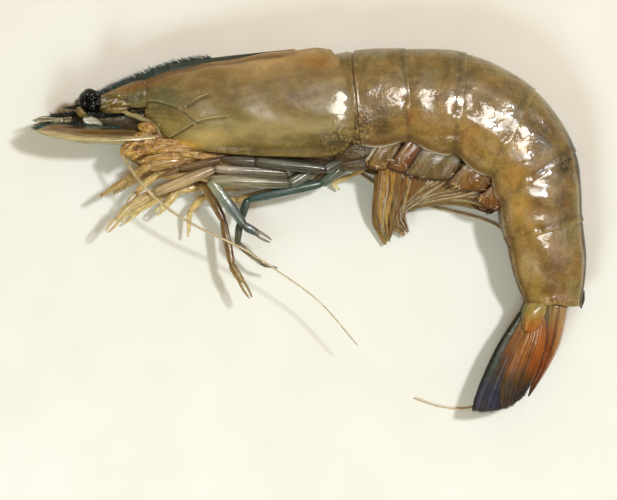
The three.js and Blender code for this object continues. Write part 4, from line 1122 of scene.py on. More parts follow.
def segmentGrid(index):
    shape = abdomen
    outline = shellOutline(shape["recess"], shape["wallSteps"], shape["underSteps"])
    first, last = (s / (len(shape["stations"]) - 1) for s in shape["spans"][index])
    t = np.linspace(0, 1, shape["rows"][index])
    back, edge, half = runThrough(shape["stations"], first + (last - first) * t)
    along = unit(np.cross(back - edge, up))
    edge = edge + unit(edge - back) * (shape["drop"][index] * np.sin(math.pi * t))[:, None]
    rows = np.broadcast_to(t[:, None], (len(t), len(outline["x"])))
    around = np.broadcast_to(outline["around"], rows.shape)
    groove = 0 if index else 0.5 * shape["groove"] * bell(t - 0.36, 0.05)
    tuck = 0 if index else 0.6 * shape["flare"] * (1 - t) ** 2
    size = (1 + shape["flare"] * (t - 0.7) - tuck)[:, None]
    size = size - np.multiply.outer(np.ones(len(t)) * groove, np.maximum(0, outline["y"]))
    plain = sectionPoints(back, edge, half, outline, size)
    span = (last - first) * shape["length"]
    toRear, toFront = (1 - rows) * span, rows * span
    onFlank = ease(around, 0.08, 0.3)
    relief = uneven(plain, [(shape["wave"][index], 8.5, 3 + index), (0.05, 3.0, 20 + index)])
    relief = relief * (0.25 + 0.75 * onFlank)
    # each plate swells a little between its seams, with a thin rim at the rear
    swell = shape["swell"] * (1 - (2 * rows - 1) ** 2) - 0.5 * shape["swell"]
    rim = bell(toRear - 0.25, 0.22)
    band = bell(toRear - 1.3, 0.4)
    relief = relief + swell * onFlank + 0.05 * rim - 0.04 * band - 0.12 * bell(toFront, 0.8)
    # the hinge: a small knob at mid flank, close to each seam, painted pale as a highlight
    hinge = bell(around - 0.70, 0.03) * bell(toRear - 1.0, 0.7)
    relief = relief + 0.4 * hinge - 0.3 * bell(around - 0.66, 0.03) * bell(toRear - 1.4, 0.9)
    # side plates: a shallow hollow above a rolled edge
    relief = relief - 0.25 * bell(around - 0.86, 0.06) * np.sin(math.pi * rows)
    relief = relief + 0.16 * bell(around - 0.98, 0.02)
    # the keel starts on the fourth ring
    keel = ease(around, 0.17, 0.13) if index >= 3 else np.zeros(rows.shape)
    if index == 3:
        keel = keel * ease(rows, 0.55, 0.95)
    relief = relief - 0.2 * bell(around - 0.18, 0.03) * keel.max(axis=1, keepdims=True)
    crossing = rows - 0.38 + 0.22 * around  # the groove over the first ring
    if index == 0:
        relief = relief - 0.4 * bell(crossing, 0.012) + 0.12 * bell(crossing - 0.03, 0.02)
    relief = relief * np.where(around <= 1.001, 1, 0.3)
    grid = sectionPoints(back, edge, half, outline, size, relief)
    # each ring runs a little way under the one before it and over the one behind it
    reach = shape["overlap"] * (ease(t, 0.9, 1) - ease(t, 0.1, 0))
    grid = grid + along[:, None] * reach[:, None, None]
    if index == 5:  # the end is uneven, where it meets the fan
        grid = grid + along[:, None] * (ease(rows, 0.9, 1) * (0.3 + 0.9 * waves(plain, 4.0, 71)))[..., None]
    # darker at the seams: a smudged band before each rear edge, and lines in the dips at the front and in the
    # groove over the first ring, painted shade
    smudge = shape["smudge"][index] * bell(toRear - 1.1, 0.8) * (0.5 + waves(plain, 1.6, 81))
    seam = np.clip(shape["seam"][index] * band + smudge, 0, 1) + 0.6 * bell(toFront - 0.3, 0.25)
    if index == 0:
        seam = np.maximum(seam, 1.2 * bell(crossing, 0.014) * ease(around, 0.8, 0.5))
    # lip: a pale line along the free edge of each side plate, a painted wet highlight
    lip = bell(around - 0.998, 0.014) * ease(np.sin(math.pi * rows), 0.3, 0.8)
    # inside: the underside of each ring is painted dark, as shade
    marks = {"around": around, "rim": rim * (shape["paleSeam"][index] * ease(around, 0.6, 0.3)), "keel": keel,
             "groove": seam, "edge": bell(around - 0.955, 0.03), "inside": ease(around, 1.01, 1.04),
             "lip": lip * shape["lip"][index], "ridge": hinge}
    return onTable(grid), marks


def makeAbdomen(hairs):
    for index in range(len(abdomen["spans"])):
        shape = emptyShape()
        grid, marks = segmentGrid(index)
        addRings(shape, grid, marks)
        if index == 5:  # the keel ends in a small spine over the telson
            spine, *_ = sweepRings(abdomen["spine"], *fineness["spine"], ends=(0.1, 0))
            addRings(shape, spine, {"keel": 0.9})
        name = f"abdomen_{index + 1}"
        finishMesh(name + "_shell", shape, tailFinish, "tail_shell", name)
        # short hairs on the rims of the side plates
        for column, way in ((0, 1), (2 * abdomen["wallSteps"], -1)):
            edge = grid[:, column]
            out = unit(edge - grid[:, column + 4 * way]) + up * way * 0.2
            fringe(hairs, edge, out, *fringes["sidePlate"], seed=index * 2 + (way > 0))
        print("segment", index + 1, "done")


sternum = {
    "stations": [
        station([-44.0, 26.5], [-43.4, 21.6], 3.0), station([-30.0, 27.0], [-30.0, 19.2], 3.8),
        station([-12.0, 26.4], [-12.0, 17.8], 4.2), station([4.0, 26.4], [4.0, 17.6], 4.4),
        station([11.0, 26.4], [10.2, 19.0], 3.6),
    ],
    "rows": 110, "cols": 40, "knuckles": 5.5,
    "lumps": [[[6.0, 21.4, 2.6, 1.8], [12.0, 21.4, 4.2, 2.4], [18.6, 22.4, 4.0, 2.0]],
              [[6.4, 18.6, 2.2, 1.4], [12.6, 18.4, 3.2, 1.7], [19.0, 18.8, 3.4, 1.4]]],
}
underSkin = limbFinish("underSkin", [(0, "#74582a"), (0.4, "#5d4622"), (0.8, "#4f3d1f"), (1, "#6d5a33")],
                       {"rough": (0.3, 0.5), "film": 0.5, "wrinkle": 0.5, "wrinkleStrength": 1.0,
                        "wrinkleDepth": 0.45, "cuts": (3.0, 6.0), "line": "#22170a", "glint": "#c0a468",
                        "glints": 0.35})


def makeSternum():
    t = np.linspace(0, 1, sternum["rows"])
    turn = np.linspace(0, 2 * math.pi, sternum["cols"], endpoint=False)
    outline = {"x": np.cos(turn), "y": np.sin(turn), "outX": np.cos(turn), "outY": np.sin(turn)}
    back, edge, half = runThrough(sternum["stations"], t)
    plain = sectionPoints(back, edge, half, outline)
    # the leg sockets stand out as a row of knuckles
    knuckle = np.sin(t[:, None] * 2 * math.pi * sternum["knuckles"]) * np.clip(-np.sin(turn), 0, 1)
    relief = uneven(plain, [(0.25, 3, 8), (0.12, 1.1, 9)], 0.35 * knuckle)
    end = np.sqrt(np.clip(1 - (2 * t - 1) ** 8, 0.01, 1))
    grid = sectionPoints(back, edge, half, outline, end[:, None], relief * end[:, None])
    shape = emptyShape()
    addRings(shape, grid, {"along": t[:, None], "high": np.sin(turn)[None, :]})
    for side in sides.values():
        for k, stops in enumerate(sternum["lumps"]):
            addLines(shape, [stops], side, *fineness["fleshLump"], 0.8, ends=(0.3, 0.3),
                     relief=lambda t, a: crumpled(t + k, a))
    finishMesh("sternum_skin", shape, underSkin, "underside", "sternum")


eye = {"centre": [-60.5, 35.2, 4.9], "radius": 3.45, "rows": 64, "cols": 80}
eyestalk = [[-46.5, 35.2, 2.3, 1.7], [-52.5, 35.4, 3.2, 1.5], [-58.0, 35.2, 4.5, 1.9]]
antennule = [[-45.5, 31.6, 1.9, 1.5], [-56.0, 30.4, 1.9, 1.5], [-64.5, 30.7, 1.8, 1.2],
             [-71.0, 30.3, 1.9, 0.9]]
antennuleWhips = [
    [[-69.3, 30.6, 2.1, 0.5], [-73.6, 31.1, 2.6, 0.36], [-76.8, 30.2, 2.8, 0.16]],
    [[-69.3, 30.2, 1.8, 0.5], [-73.0, 30.2, 2.2, 0.36], [-76.6, 28.9, 2.4, 0.16]],
    [[-69.3, 29.9, 1.6, 0.5], [-72.4, 29.2, 2.0, 0.36], [-75.2, 29.3, 2.6, 0.14]],
    [[-69.3, 29.7, 1.5, 0.45], [-72.6, 28.4, 1.2, 0.36], [-76.2, 27.7, 1.2, 0.16]],
]
# shares of the length where it is jointed, and the hollow under the eye
antennuleLook = {"joints": [0.72, 0.86], "cup": [-59.9, 29.9], "cupSize": [2.8, 1.3], "cupDepth": 0.6,
                 "tuft": 26}
eyeLumps = [[[-63.8, 33.6, 4.9, 1.0], [-62.8, 32.6, 5.6, 1.5], [-61.0, 31.9, 5.4, 1.1]],
            [[-57.6, 33.2, 3.6, 0.8], [-54.0, 33.2, 4.2, 1.1], [-50.0, 33.6, 4.0, 1.0]],
            [[-57.0, 36.6, 3.4, 0.7], [-53.0, 37.0, 3.8, 1.1], [-48.6, 37.2, 3.8, 1.2]]]
scale = {
    "stops": [[-42.5, 26.4, 5.0, 2.4], [-54.0, 26.2, 5.6, 3.6], [-64.0, 26.8, 5.6, 3.9],
              [-71.5, 27.6, 5.2, 3.0], [-75.2, 27.4, 5.0, 0.7]],
    "flat": 0.16, "facing": [0, 0.84, 0.54],
}
antennaBase = [[-40.0, 25.2, 4.3, 1.8], [-46.0, 23.2, 5.0, 2.5], [-51.6, 21.4, 5.6, 1.7]]


def makeEye(name, side, finish):
    x, y, z = eye["centre"]
    z = midline + side * z
    rise = np.linspace(0.001, math.pi - 0.001, eye["rows"])
    turn = np.linspace(0, 2 * math.pi, eye["cols"], endpoint=False)
    # the ball's poles lie along the stalk, so that the cuff is a ring round it
    axis = unit(np.array([-1.0, 0.06, 0.25 * side]))
    first = unit(np.cross(axis, up))
    second = np.cross(axis, first)
    radius = eye["radius"] * (1 + 0.02 * np.sin(3 * turn)[None, :] * np.sin(rise)[:, None])
    lobe = 1 + 0.05 * bell(rise[:, None] - 1.1, 0.4)
    ring = (np.sin(rise)[:, None] * radius * lobe)[..., None]
    ball = first * (np.cos(turn)[None, :, None] * ring) + second * (np.sin(turn)[None, :, None] * ring)
    grid = np.array([x, y, z]) + ball + axis * (np.cos(rise)[:, None] * radius * 0.97)[..., None]
    grid[..., 1] += 0.08 * (grid[..., 1] - y)  # a little taller than long
    grid += ball / eye["radius"] * (0.22 * waves(ball, 2.4, 51) + 0.1 * waves(ball, 1.0, 52))[..., None]
    cuff = ease(rise, 2.45, 2.6)[:, None] * np.ones(len(turn))
    shape = emptyShape()
    addRings(shape, grid, {"cuff": np.clip(cuff, 0, 1)})
    finishMesh(name + "_ball", shape, finish, "eye", name)


def makeEyestalk(sideName, side):
    shape = emptyShape()
    addLines(shape, [eyestalk], side, *fineness["eyestalk"], profile=lambda t: 0.95 + 0.15 * bell(t - 0.55,
                                                                                                  0.2),
             relief=lambda t, a: 0.2 * np.sin(a * 3 + t * 5) + 0.14 * np.sin(a * 7 - t * 19),
             extra=lambda marks: {"joint": bell(marks["along"] - 0.62, 0.04)})
    # a lump under the eye, and the pleated skin behind it
    addLines(shape, eyeLumps, side, *fineness["eyeLump"], ends=(0.35, 0.35),
             relief=lambda t, a: 0.1 * np.sin(5 * a + 9 * t))
    finishMesh(f"eyestalk_{sideName}_skin", shape, stalkFinish, "head_shell", f"eyestalk_{sideName}")


# the scale: a thin blade with a stiff pale outer edge, a spine at its end and a long fringe
def makeScale(sideName, side, hairs):
    x, y, z = scale["facing"]
    grid, marks, line = sweepRings(
        sided(scale["stops"], side), *fineness["scale"], scale["flat"], np.array([x, y, side * z]),
        ends=(0, 0.05), relief=lambda t, a: 0.3 * bell(np.cos(a) + 0.72 * side, 0.22)
        - 0.22 * bell(np.cos(a) + 0.34 * side, 0.14)
        - 0.08 * np.abs(np.sin(a)) * (0.5 + 0.5 * np.cos(11 * np.cos(a))))
    outer = -side * marks["across"]
    shape = emptyShape()
    addRings(shape, grid, {**marks, "stiff": ease(outer, 0.28, 0.46), "inner": ease(outer, -0.35, -0.8),
                           "rim": ease(outer, 0.93, 1.0)})
    name = f"antennal_scale_{sideName}"
    finishMesh(name + "_blade", shape, scaleFinish, "scale", name)
    inner = line["path"] + line["wide"] * (side * line["radius"])[:, None]
    fringe(hairs, inner, line["wide"] * side + up * 0.3 * side, *fringes["scale"], seed=11 + side)


# the short feeler: three pieces, a hollow under the eye, and two short whips
def makeAntennule(sideName, side, hairs):
    joints = antennuleLook["joints"]
    grid, marks, line = sweepRings(
        sided(antennule, side), *fineness["antennule"], ends=(0, 0.03),
        profile=lambda t: 1 - 0.16 * bell(t - joints[0], 0.015) - 0.16 * bell(t - joints[1], 0.015),
        relief=lambda t, a: 0.08 * np.sin(5 * a + 3 * t) + 0.05 * np.sin(9 * a - 14 * t))
    x, y = grid[..., 0], grid[..., 1]
    (cupX, cupY), (long, tall) = antennuleLook["cup"], antennuleLook["cupSize"]
    slant = 0.3 * (x - cupX)
    cup = ((x - cupX) / long) ** 2 + ((y - cupY + slant) / tall) ** 2
    facingOut = side * (grid[..., 2] - midline - side * 1.9) > 0
    grid[..., 2] -= side * antennuleLook["cupDepth"] * ease(cup, 1.2, 0.3) * facingOut
    shape = emptyShape()
    addRings(shape, grid, {
        **marks, "joint": sum(bell(marks["along"] - joint, 0.012) for joint in joints),
        "hollow": ease(cup, 1.0, 0.85), "hollowRim": ease(cup, 1.65, 1.35) * ease(cup, 0.85, 1.0),
        "topEdge": ease(y - line["path"][:, None, 1], 0.3, 0.9)})
    addLines(shape, antennuleWhips, side, *fineness["shortWhip"], ends=(0, 0.04),
             profile=lambda t: 1.15 + 0.08 * np.sin(t * 150),
             extra=lambda marks: {"along": 0.78 + 0.22 * marks["along"]})
    finishMesh(f"antennule_{sideName}_skin", shape, feelerFinish, "scale", f"antennule_{sideName}")
    top = line["path"] + np.array([0, 0.9, 0.3 * side]) * line["radius"][:, None]
    fringe(hairs, top, np.tile([-0.5, 0.7, 0.5 * side], (len(top), 1)), *fringes["feeler"],
           seed=31 + side)
    # a tuft under the hollow
    count = antennuleLook["tuft"]
    draw = np.random.default_rng(35 + side)
    at = np.column_stack([draw.uniform(-65.6, -62.4, count), draw.uniform(29.8, 31.6, count),
                          np.full(count, midline + side * 3.4)])
    addHairs(hairs, at, np.tile([-0.1, -1.0, 0.5 * side], (count, 1)), 2.6)


def makeHead(hairs):
    eyeGloss, whipSkin = eyeFinish(), whipFinish()
    for sideName, side in sides.items():
        makeEye("eye_" + sideName, side, eyeGloss)
        makeEyestalk(sideName, side)
        makeScale(sideName, side, hairs["scale"])
        makeAntennule(sideName, side, hairs["feeler"])
        makeAntennaBase(sideName, side)
        makeWhip(sideName, whipSkin)
    print("head done")


baseLumps = [[[-41.6, 27.4, 5.2, 1.2], [-44.4, 28.2, 5.4, 1.6], [-47.4, 28.4, 5.0, 1.1]],
             [[-43.0, 25.6, 5.6, 1.2], [-46.4, 25.8, 5.8, 1.3], [-49.4, 24.8, 5.6, 0.9]],
             [[-48.2, 24.6, 6.0, 0.9], [-50.6, 22.6, 6.2, 1.2], [-51.8, 20.6, 5.9, 0.9]],
             [[-44.6, 22.8, 6.4, 0.9], [-47.4, 21.0, 6.4, 1.0], [-49.0, 19.4, 5.8, 0.7]]]


def crumpled(t, a):
    return 0.2 * np.sin(4 * a + 6 * t) + 0.15 * np.sin(7 * a - 17 * t) + 0.08 * np.sin(13 * a + 31 * t)


def makeAntennaBase(sideName, side):
    shape = emptyShape()
    grid, marks, _ = sweepRings(sided(antennaBase, side), *fineness["antennaBase"], relief=crumpled,
                                ends=(0.1, 0.1), profile=lambda t: 1 - 0.12 * bell(t - 0.5, 0.05))
    # a dent on the outer face, painted dark through the joint mark as the shade in a hole
    hole = ease(np.hypot((grid[..., 0] + 47.0) / 1.3, (grid[..., 1] - 22.4) / 0.8), 1.2, 0.7)
    grid[..., 2] -= side * 0.8 * hole * (side * (grid[..., 2] - midline) > 5.0)
    addRings(shape, grid, {**marks, "joint": bell(marks["along"] - 0.5, 0.04) + 1.6 * hole})
    addLines(shape, baseLumps, side, *fineness["baseLump"], 0.8, ends=(0.3, 0.3),
             relief=lambda t, a: 0.5 * crumpled(t, a),
             extra=lambda marks: {"joint": 0.8 * bell(marks["along"] - 0.05, 0.08)})
    finishMesh(f"antenna_base_{sideName}_skin", shape, rawGold, "tan_limb", f"antenna_base_{sideName}")


# folded mouthparts between the head shell and the first legs
mouth = [
    [[-25, 22.6, 4.2, 0.7], [-33, 22.6, 4.8, 1.2], [-41, 22.4, 5.4, 1.2], [-46.6, 21.4, 5.4, 0.6]],
    [[-26, 20.8, 3.6, 0.8], [-34, 20.6, 4.2, 1.2], [-42, 20.0, 4.6, 1.0], [-47.4, 18.6, 4.2, 0.4]],
    [[-32, 24.0, 4.6, 0.7], [-38, 24.2, 5.6, 1.0], [-43.6, 24.0, 6.0, 0.8]],
    [[-29, 18.8, 3.2, 0.8], [-37, 18.2, 3.6, 1.0], [-44, 16.6, 3.4, 0.4]],
    [[-22, 20.0, 3.0, 0.8], [-29, 20.4, 4.4, 1.1], [-36, 21.2, 5.2, 0.9]],
    [[-14, 18.6, 3.0, 0.8], [-22, 19.2, 4.2, 1.2], [-30, 19.6, 4.4, 0.7]],
]


def makeMouth():
    shape = emptyShape()
    for side in sides.values():
        for k, stops in enumerate(mouth):
            addLines(shape, [stops], side, *fineness["mouth"], 0.7, ends=(0.15, 0.12),
                     relief=lambda t, a: 0.6 * crumpled(1.5 * t + k, a),
                     extra=lambda marks: {"joint": 0.5 * bell(marks["along"] - 0.3 - 0.08 * k, 0.03)})
    finishMesh("mouthparts", shape, rawGold, "underside")


whips = {
    "left": [[-51.8, 20.9, 15.2, 0.65], [-47.1, 13.9, 16.4, 0.6], [-40.1, 6.7, 16.8, 0.55],
             [-30.4, 0.6, 16.8, 0.5],
             [-19.3, -4.7, 16.4, 0.45], [-8.2, -11.7, 15.6, 0.35], [2.9, -20.0, 14.6, 0.3],
             [13.5, -32.2, 13.2, 0.25]],
    "right": [[-51.8, 20.9, 4.2, 0.65], [-44.0, 16.0, 1.4, 0.6], [-30.0, 14.6, 0.65, 0.55],
              [-10.0, 17.0, 0.6, 0.5],
              [9.9, 17.8, 0.55, 0.5], [18.2, 13.3, 0.5, 0.45], [32.4, 7.2, 0.5, 0.4], [52.9, 1.1, 0.45, 0.4],
              [63.5, -8.9, 0.42, 0.35], [63.5, -26.0, 0.4, 0.35], [55.5, -43.0, 0.36, 0.3],
              [46.0, -49.8, 0.34, 0.3], [37.6, -49.8, 0.32, 0.27], [29.3, -47.2, 0.3, 0.25]],
    "pointsPerStop": 60, "slim": 0.68,
}


def makeWhip(sideName, finish):
    stops = np.array(whips[sideName], float)
    t = np.linspace(0, 1, whips["pointsPerStop"] * (len(stops) - 1))
    path = through(stops[:, :3], t)
    girth = np.interp(t * (len(stops) - 1), range(len(stops)), stops[:, 3])
    girth *= whips["slim"]
    girth[-3:] *= (0.7, 0.45, 0.15)
    host = bpy.data.meshes.new("whip.points")
    host.from_pydata((path * mm).tolist(), [(i, i + 1) for i in range(len(t) - 1)], [])
    host.attributes.new("girth", "FLOAT", "POINT").data.foreach_set("value", (girth * mm).astype(np.float32))
    piece = grow(f"antenna_{sideName}_whip", host, feelerNodes, {"Sides": 10, "Rings": 0.1, "Finish": finish})
    settle(piece, "whip", f"antenna_{sideName}")


limbs = {
    "maxilliped_left": {"finish": goldLimb, "hairs": 130, "joints": [
        [-24.5, 21.5, 11.6, 1.2], [-36.0, 19.2, 13.2, 1.25], [-43.8, 18.0, 13.9, 1.1],
        [-50.4, 13.9, 13.0, 0.95], [-57.9, 9.4, 11.4, 0.35]]},
    "maxilliped_right": {"finish": goldLimb, "hairs": 130, "joints": [
        [-25.0, 21.0, 7.6, 1.2], [-36.0, 18.4, 6.4, 1.25], [-43.8, 17.0, 5.4, 1.1], [-49.3, 13.8, 4.8, 0.9],
        [-54.9, 10.4, 4.0, 0.3]]},
    "leg_1_left": {"finish": tanLimb, "claw": True, "hairs": 40, "joints": [
        [-15.0, 18.8, 9.7, 1.3], [-18.2, 12.8, 9.9, 1.2], [-31.0, 15.0, 10.6, 1.1], [-42.0, 15.2, 10.8, 0.9],
        [-45.3, 13.2, 10.8, 0.95], [-50.8, 7.1, 10.2, 0.7]]},
    "leg_1_right": {"finish": tanLimb, "claw": True, "hairs": 60, "joints": [
        [-16.0, 18.6, 7.3, 1.2], [-20.4, 12.0, 4.7, 1.1], [-31.0, 12.2, 5.0, 1.05], [-36.8, 11.0, 6.4, 0.95],
        [-39.6, 7.6, 7.0, 1.0], [-42.9, 4.4, 7.2, 0.9]]},
    "leg_2_left": {"finish": mauveLimb, "claw": True, "hairs": 20, "joints": [
        [-3.0, 18.2, 10.6, 1.3], [-6.4, 15.8, 12.0, 1.3], [-26.2, 16.9, 13.5, 1.4], [-43.0, 10.2, 14.2, 1.1],
        [-49.9, 6.4, 13.4, 1.1], [-56.2, -0.6, 12.2, 0.9]]},
    "leg_2_right": {"finish": tanLimb, "claw": True, "hairs": 20, "joints": [
        [-3.0, 18.2, 6.4, 1.3], [-8.0, 16.0, 3.4, 1.3], [-27.1, 15.6, 3.0, 1.3], [-41.5, 9.6, 3.4, 1.0],
        [-47.3, 6.4, 2.9, 1.0], [-52.6, 2.0, 2.3, 0.9]]},
    "leg_3_left": {"finish": blueLimb, "claw": True, "hairs": 10, "slot": "blue_limb", "joints": [
        [2.4, 17.2, 10.2, 1.3], [-5.4, 12.9, 12.4, 1.4], [-27.4, 13.8, 14.0, 1.5], [-18.0, 1.2, 12.4, 1.05],
        [-10.6, -3.2, 11.2, 0.9]]},
    "leg_3_right": {"finish": brownLimb, "claw": True, "hairs": 10, "joints": [
        [1.0, 17.7, 8.2, 1.3], [-6.0, 13.4, 7.5, 1.2], [-29.2, 12.7, 7.5, 1.15], [-24.0, 2.6, 8.4, 1.0],
        [-21.6, -9.6, 10.0, 0.95], [-16.2, -18.9, 11.6, 0.9]]},
    "leg_4_left": {"finish": greyLimb, "hairs": 30, "slot": "blue_limb", "joints": [
        [8.4, 18.8, 12.6, 1.2], [4.4, 16.8, 14.4, 1.3], [-15.0, 18.9, 14.5, 1.35], [-24.4, 19.4, 14.6, 0.9],
        [-36.0, 16.9, 14.7, 0.7], [-41.0, 14.9, 14.4, 0.25]]},
    "leg_4_right": {"finish": tanLimb, "hairs": 20, "joints": [
        [6.0, 18.4, 7.2, 1.2], [1.6, 13.4, 4.2, 1.1], [-20.7, 8.4, 3.6, 1.0], [-29.6, 9.4, 5.4, 0.95],
        [-33.4, 5.4, 5.4, 0.75], [-34.0, -1.7, 4.6, 0.22]]},
    "leg_5_left": {"finish": tealLimb, "hairs": 20, "slot": "blue_limb", "joints": [
        [9.6, 17.6, 10.0, 1.2], [3.5, 13.0, 10.0, 1.3], [-17.2, 8.4, 10.2, 1.0], [-19.3, 2.2, 9.2, 0.85],
        [-20.1, -3.6, 8.8, 0.8], [-13.2, -9.6, 9.0, 0.45], [-9.0, -10.6, 9.4, 0.2]]},
    "leg_5_right": {"finish": tanLimb, "hairs": 0, "joints": [
        [9.2, 18.6, 7.6, 1.2], [15.4, 17.6, 5.6, 0.9], [12.0, 15.4, 3.4, 0.6], [6.4, 13.2, 2.4, 0.5],
        [8.4, 11.4, 2.0, 0.3]]},
}
limbShape = {"rows": 54, "cols": 30, "flat": 0.86, "crease": 0.2, "plump": 1.1}
# how thick a piece of a limb is along its length
swellAt = [0.0, 0.015, 0.05, 0.12, 0.3, 0.6, 0.88, 0.95, 0.985, 1.0]
swellBy = [0.10, 0.60, 0.84, 0.97, 1.12, 1.12, 1.0, 0.88, 0.64, 0.10]


def limbPiece(start, stop, shareFrom, shareTo):
    a, b = np.array(start[:3]), np.array(stop[:3])
    length = np.linalg.norm(b - a)
    over = 0.35 * min(start[3], stop[3]) * (b - a) / length
    middle = [*((a + b) / 2 + [0, 0, 0.02 * length]), (start[3] + stop[3]) / 2]
    stops = [[*(a - over), start[3]], middle, [*(b + over), stop[3]]]
    crease = limbShape["crease"]
    grid, marks, line = sweepRings(
        stops, limbShape["rows"], limbShape["cols"], limbShape["flat"],
        profile=lambda t: np.interp(t, swellAt, swellBy) * limbShape["plump"],
        relief=lambda t, a: (-crease * bell(np.sin((a - 1.2) / 2) * 2, 0.3) * bell(t - 0.5, 0.36)
                             - 0.6 * crease * bell(np.sin((a - 2.1) / 2) * 2, 0.22) * bell(t - 0.45, 0.3)
                             + 0.05 * np.sin(5 * a + 5 * t)) * min(1, length / 6), crowd=0.5)
    t = marks["along"]
    marks["along"] = shareFrom + (shareTo - shareFrom) * t
    marks["joint"] = np.clip(bell(t - 0.02, 0.03) + bell(t - 0.98, 0.03), 0, 1)
    return grid, marks, line


def clawFinger(a, b, wide, side, radius, shareFrom):
    spread = {0.44: (0.5, 0.5), 0.62: (0.72, 0.46), 0.8: (0.68, 0.4), 0.94: (0.48, 0.28), 1.0: (0.36, 0.14)}
    stops = []
    for share, (offset, thick) in spread.items():
        at = a + (b - a) * share + wide * side * offset * radius
        stops.append([*at, thick * radius])
    grid, marks, _ = sweepRings(stops, *fineness["finger"], 0.9, ends=(0.05, 0.08))
    t = marks["along"]
    return grid, {**marks, "along": shareFrom + (1 - shareFrom) * t, "tip": ease(t, 0.8, 1.0) * 0.8}


def makeLimb(name, limb, hairs):
    joints = limb["joints"]
    steps = [np.linalg.norm(np.subtract(b[:3], a[:3])) for a, b in zip(joints, joints[1:])]
    reached = np.concatenate([[0], np.cumsum(steps)]) / sum(steps)
    shape = emptyShape()
    lines = []
    for i, (start, stop) in enumerate(zip(joints, joints[1:])):
        end, share = stop, reached[i + 1]
        if limb.get("claw") and i == len(joints) - 2:
            # the palm is the first half of the last piece, and two fingers are the rest
            a, b = np.array(start[:3]), np.array(stop[:3])
            end, share = [*(a + (b - a) * 0.5), stop[3]], (reached[i] + reached[i + 1]) / 2
            wide = unit(np.cross(b - a, up))
            for side in (1, -1):
                addRings(shape, *clawFinger(a, b, wide, side, stop[3], share))
        grid, marks, line = limbPiece(start, end, reached[i], share)
        addRings(shape, grid, {**marks, "tip": 0.0})
        lines.append(line)
    finishMesh(name + "_skin", shape, limb["finish"], limb.get("slot", "tan_limb"), name)
    if limb["hairs"]:
        for k, line in enumerate(lines[-2:]):
            for way in (1, -1):
                edge = line["path"] + line["wide"] * (way * 0.9 * line["radius"])[:, None]
                fringe(hairs, edge, line["wide"] * way, limb["hairs"] // 4 + 1, 0.75, 1.0, 0.08, 0.97,
                       seed=len(name) * 10 + k * 2 + way)


def makeLimbs(hairs):
    for name, limb in limbs.items():
        makeLimb(name, limb, hairs)
    print("legs done")


swimStems = [
    [[25.2, 29.0, 3.0, 2.0], [24.2, 22.0, 4.2, 2.5], [22.0, 15.8, 4.6, 1.8]],
    [[32.6, 28.6, 3.0, 2.0], [31.2, 20.6, 4.2, 2.7], [28.2, 14.4, 4.4, 1.9]],
    [[40.4, 25.4, 3.0, 2.0], [38.6, 18.4, 4.2, 2.8], [35.8, 13.2, 4.3, 1.9]],
    [[47.6, 20.6, 3.0, 1.9], [45.0, 15.4, 4.0, 2.5], [41.8, 10.8, 3.9, 1.8]],
    [[54.2, 11.6, 2.8, 1.7], [51.6, 9.4, 3.5, 2.1], [48.2, 7.3, 3.4, 1.5]],
]
# left and right edges of the blades, from inside the plate to the tip
swimBlades = [
    {"left": [[19.4, 19.8, 4.6], [19.2, 12.6, 1.8], [18.7, 6.8, -2.0], [19.1, 2.4, -4.6], [21.9, -3.2, -7.4]],
     "right": [[24.8, 19.8, 4.2], [25.2, 12.4, 2.2], [24.6, 6.8, -1.4], [23.8, 2.4, -4.2],
               [22.5, -3.2, -7.2]]},
    {"left": [[24.2, 19.4, 4.8], [23.8, 12.2, 2.4], [23.2, 6.6, -1.0], [23.4, 2.6, -3.6], [27.5, -0.9, -6.6]],
     "right": [[30.8, 17.4, 4.2], [30.2, 11.2, 1.6], [28.3, 7.4, -1.6], [26.7, 4.0, -4.0],
               [27.9, -0.4, -6.6]]},
    {"left": [[33.6, 16.8, 4.8], [30.8, 13.2, 2.8], [28.0, 10.0, 0.6], [24.6, 5.4, -2.2]],
     "right": [[41.6, 15.6, 4.2], [37.4, 11.8, 2.4], [32.0, 8.9, 0.4], [25.8, 4.6, -2.6]]},
    {"left": [[46.4, 15.0, 4.2], [40.4, 12.6, 2.0], [34.0, 10.8, 0.2], [28.2, 7.6, -1.8]],
     "right": [[50.2, 11.6, 3.6], [43.4, 9.2, 1.6], [36.4, 8.1, 0.0], [29.0, 6.6, -2.0]]},
    {"left": [[51.2, 10.8, 3.4], [46.4, 9.8, 1.4], [41.2, 9.4, -0.2], [34.6, 8.6, -1.4]],
     "right": [[53.4, 6.6, 2.6], [48.8, 6.7, 1.0], [43.2, 7.9, -0.4], [35.4, 7.9, -1.6]]},
]
# the stems' outer plates, left and right edges from under the shell down
swimPlates = [
    {"left": [[21.8, 28.0, 4.0], [20.0, 24.4, 5.6], [17.6, 21.0, 5.7], [15.6, 17.6, 4.8]],
     "right": [[26.4, 27.6, 3.6], [25.6, 24.2, 4.4], [24.8, 20.8, 4.4], [23.6, 16.6, 3.8]]},
    {"left": [[29.0, 28.6, 4.0], [27.0, 25.0, 5.8], [24.4, 21.4, 6.0], [21.2, 17.4, 5.2]],
     "right": [[34.0, 27.6, 3.6], [32.6, 23.8, 4.6], [31.2, 20.0, 4.6], [28.6, 15.4, 4.0]]},
    {"left": [[33.6, 27.0, 4.0], [31.6, 23.4, 5.8], [29.0, 19.6, 5.9], [26.0, 15.2, 5.0]],
     "right": [[42.0, 26.4, 3.6], [42.2, 22.4, 4.4], [41.9, 18.6, 4.4], [39.8, 13.6, 3.8]]},
    {"left": [[44.6, 21.6, 4.0], [42.8, 18.4, 5.6], [40.6, 15.8, 5.6], [37.4, 12.4, 4.6]],
     "right": [[51.4, 19.4, 3.6], [51.2, 16.0, 4.4], [50.4, 13.6, 4.4], [48.6, 10.6, 3.6]]},
    {"left": [[52.0, 15.4, 3.6], [50.4, 12.6, 5.0], [48.6, 10.8, 5.0], [45.6, 8.6, 4.0]],
     "right": [[56.6, 11.4, 3.2], [55.2, 8.8, 4.0], [53.8, 7.0, 4.0], [51.6, 5.4, 3.2]]},
]
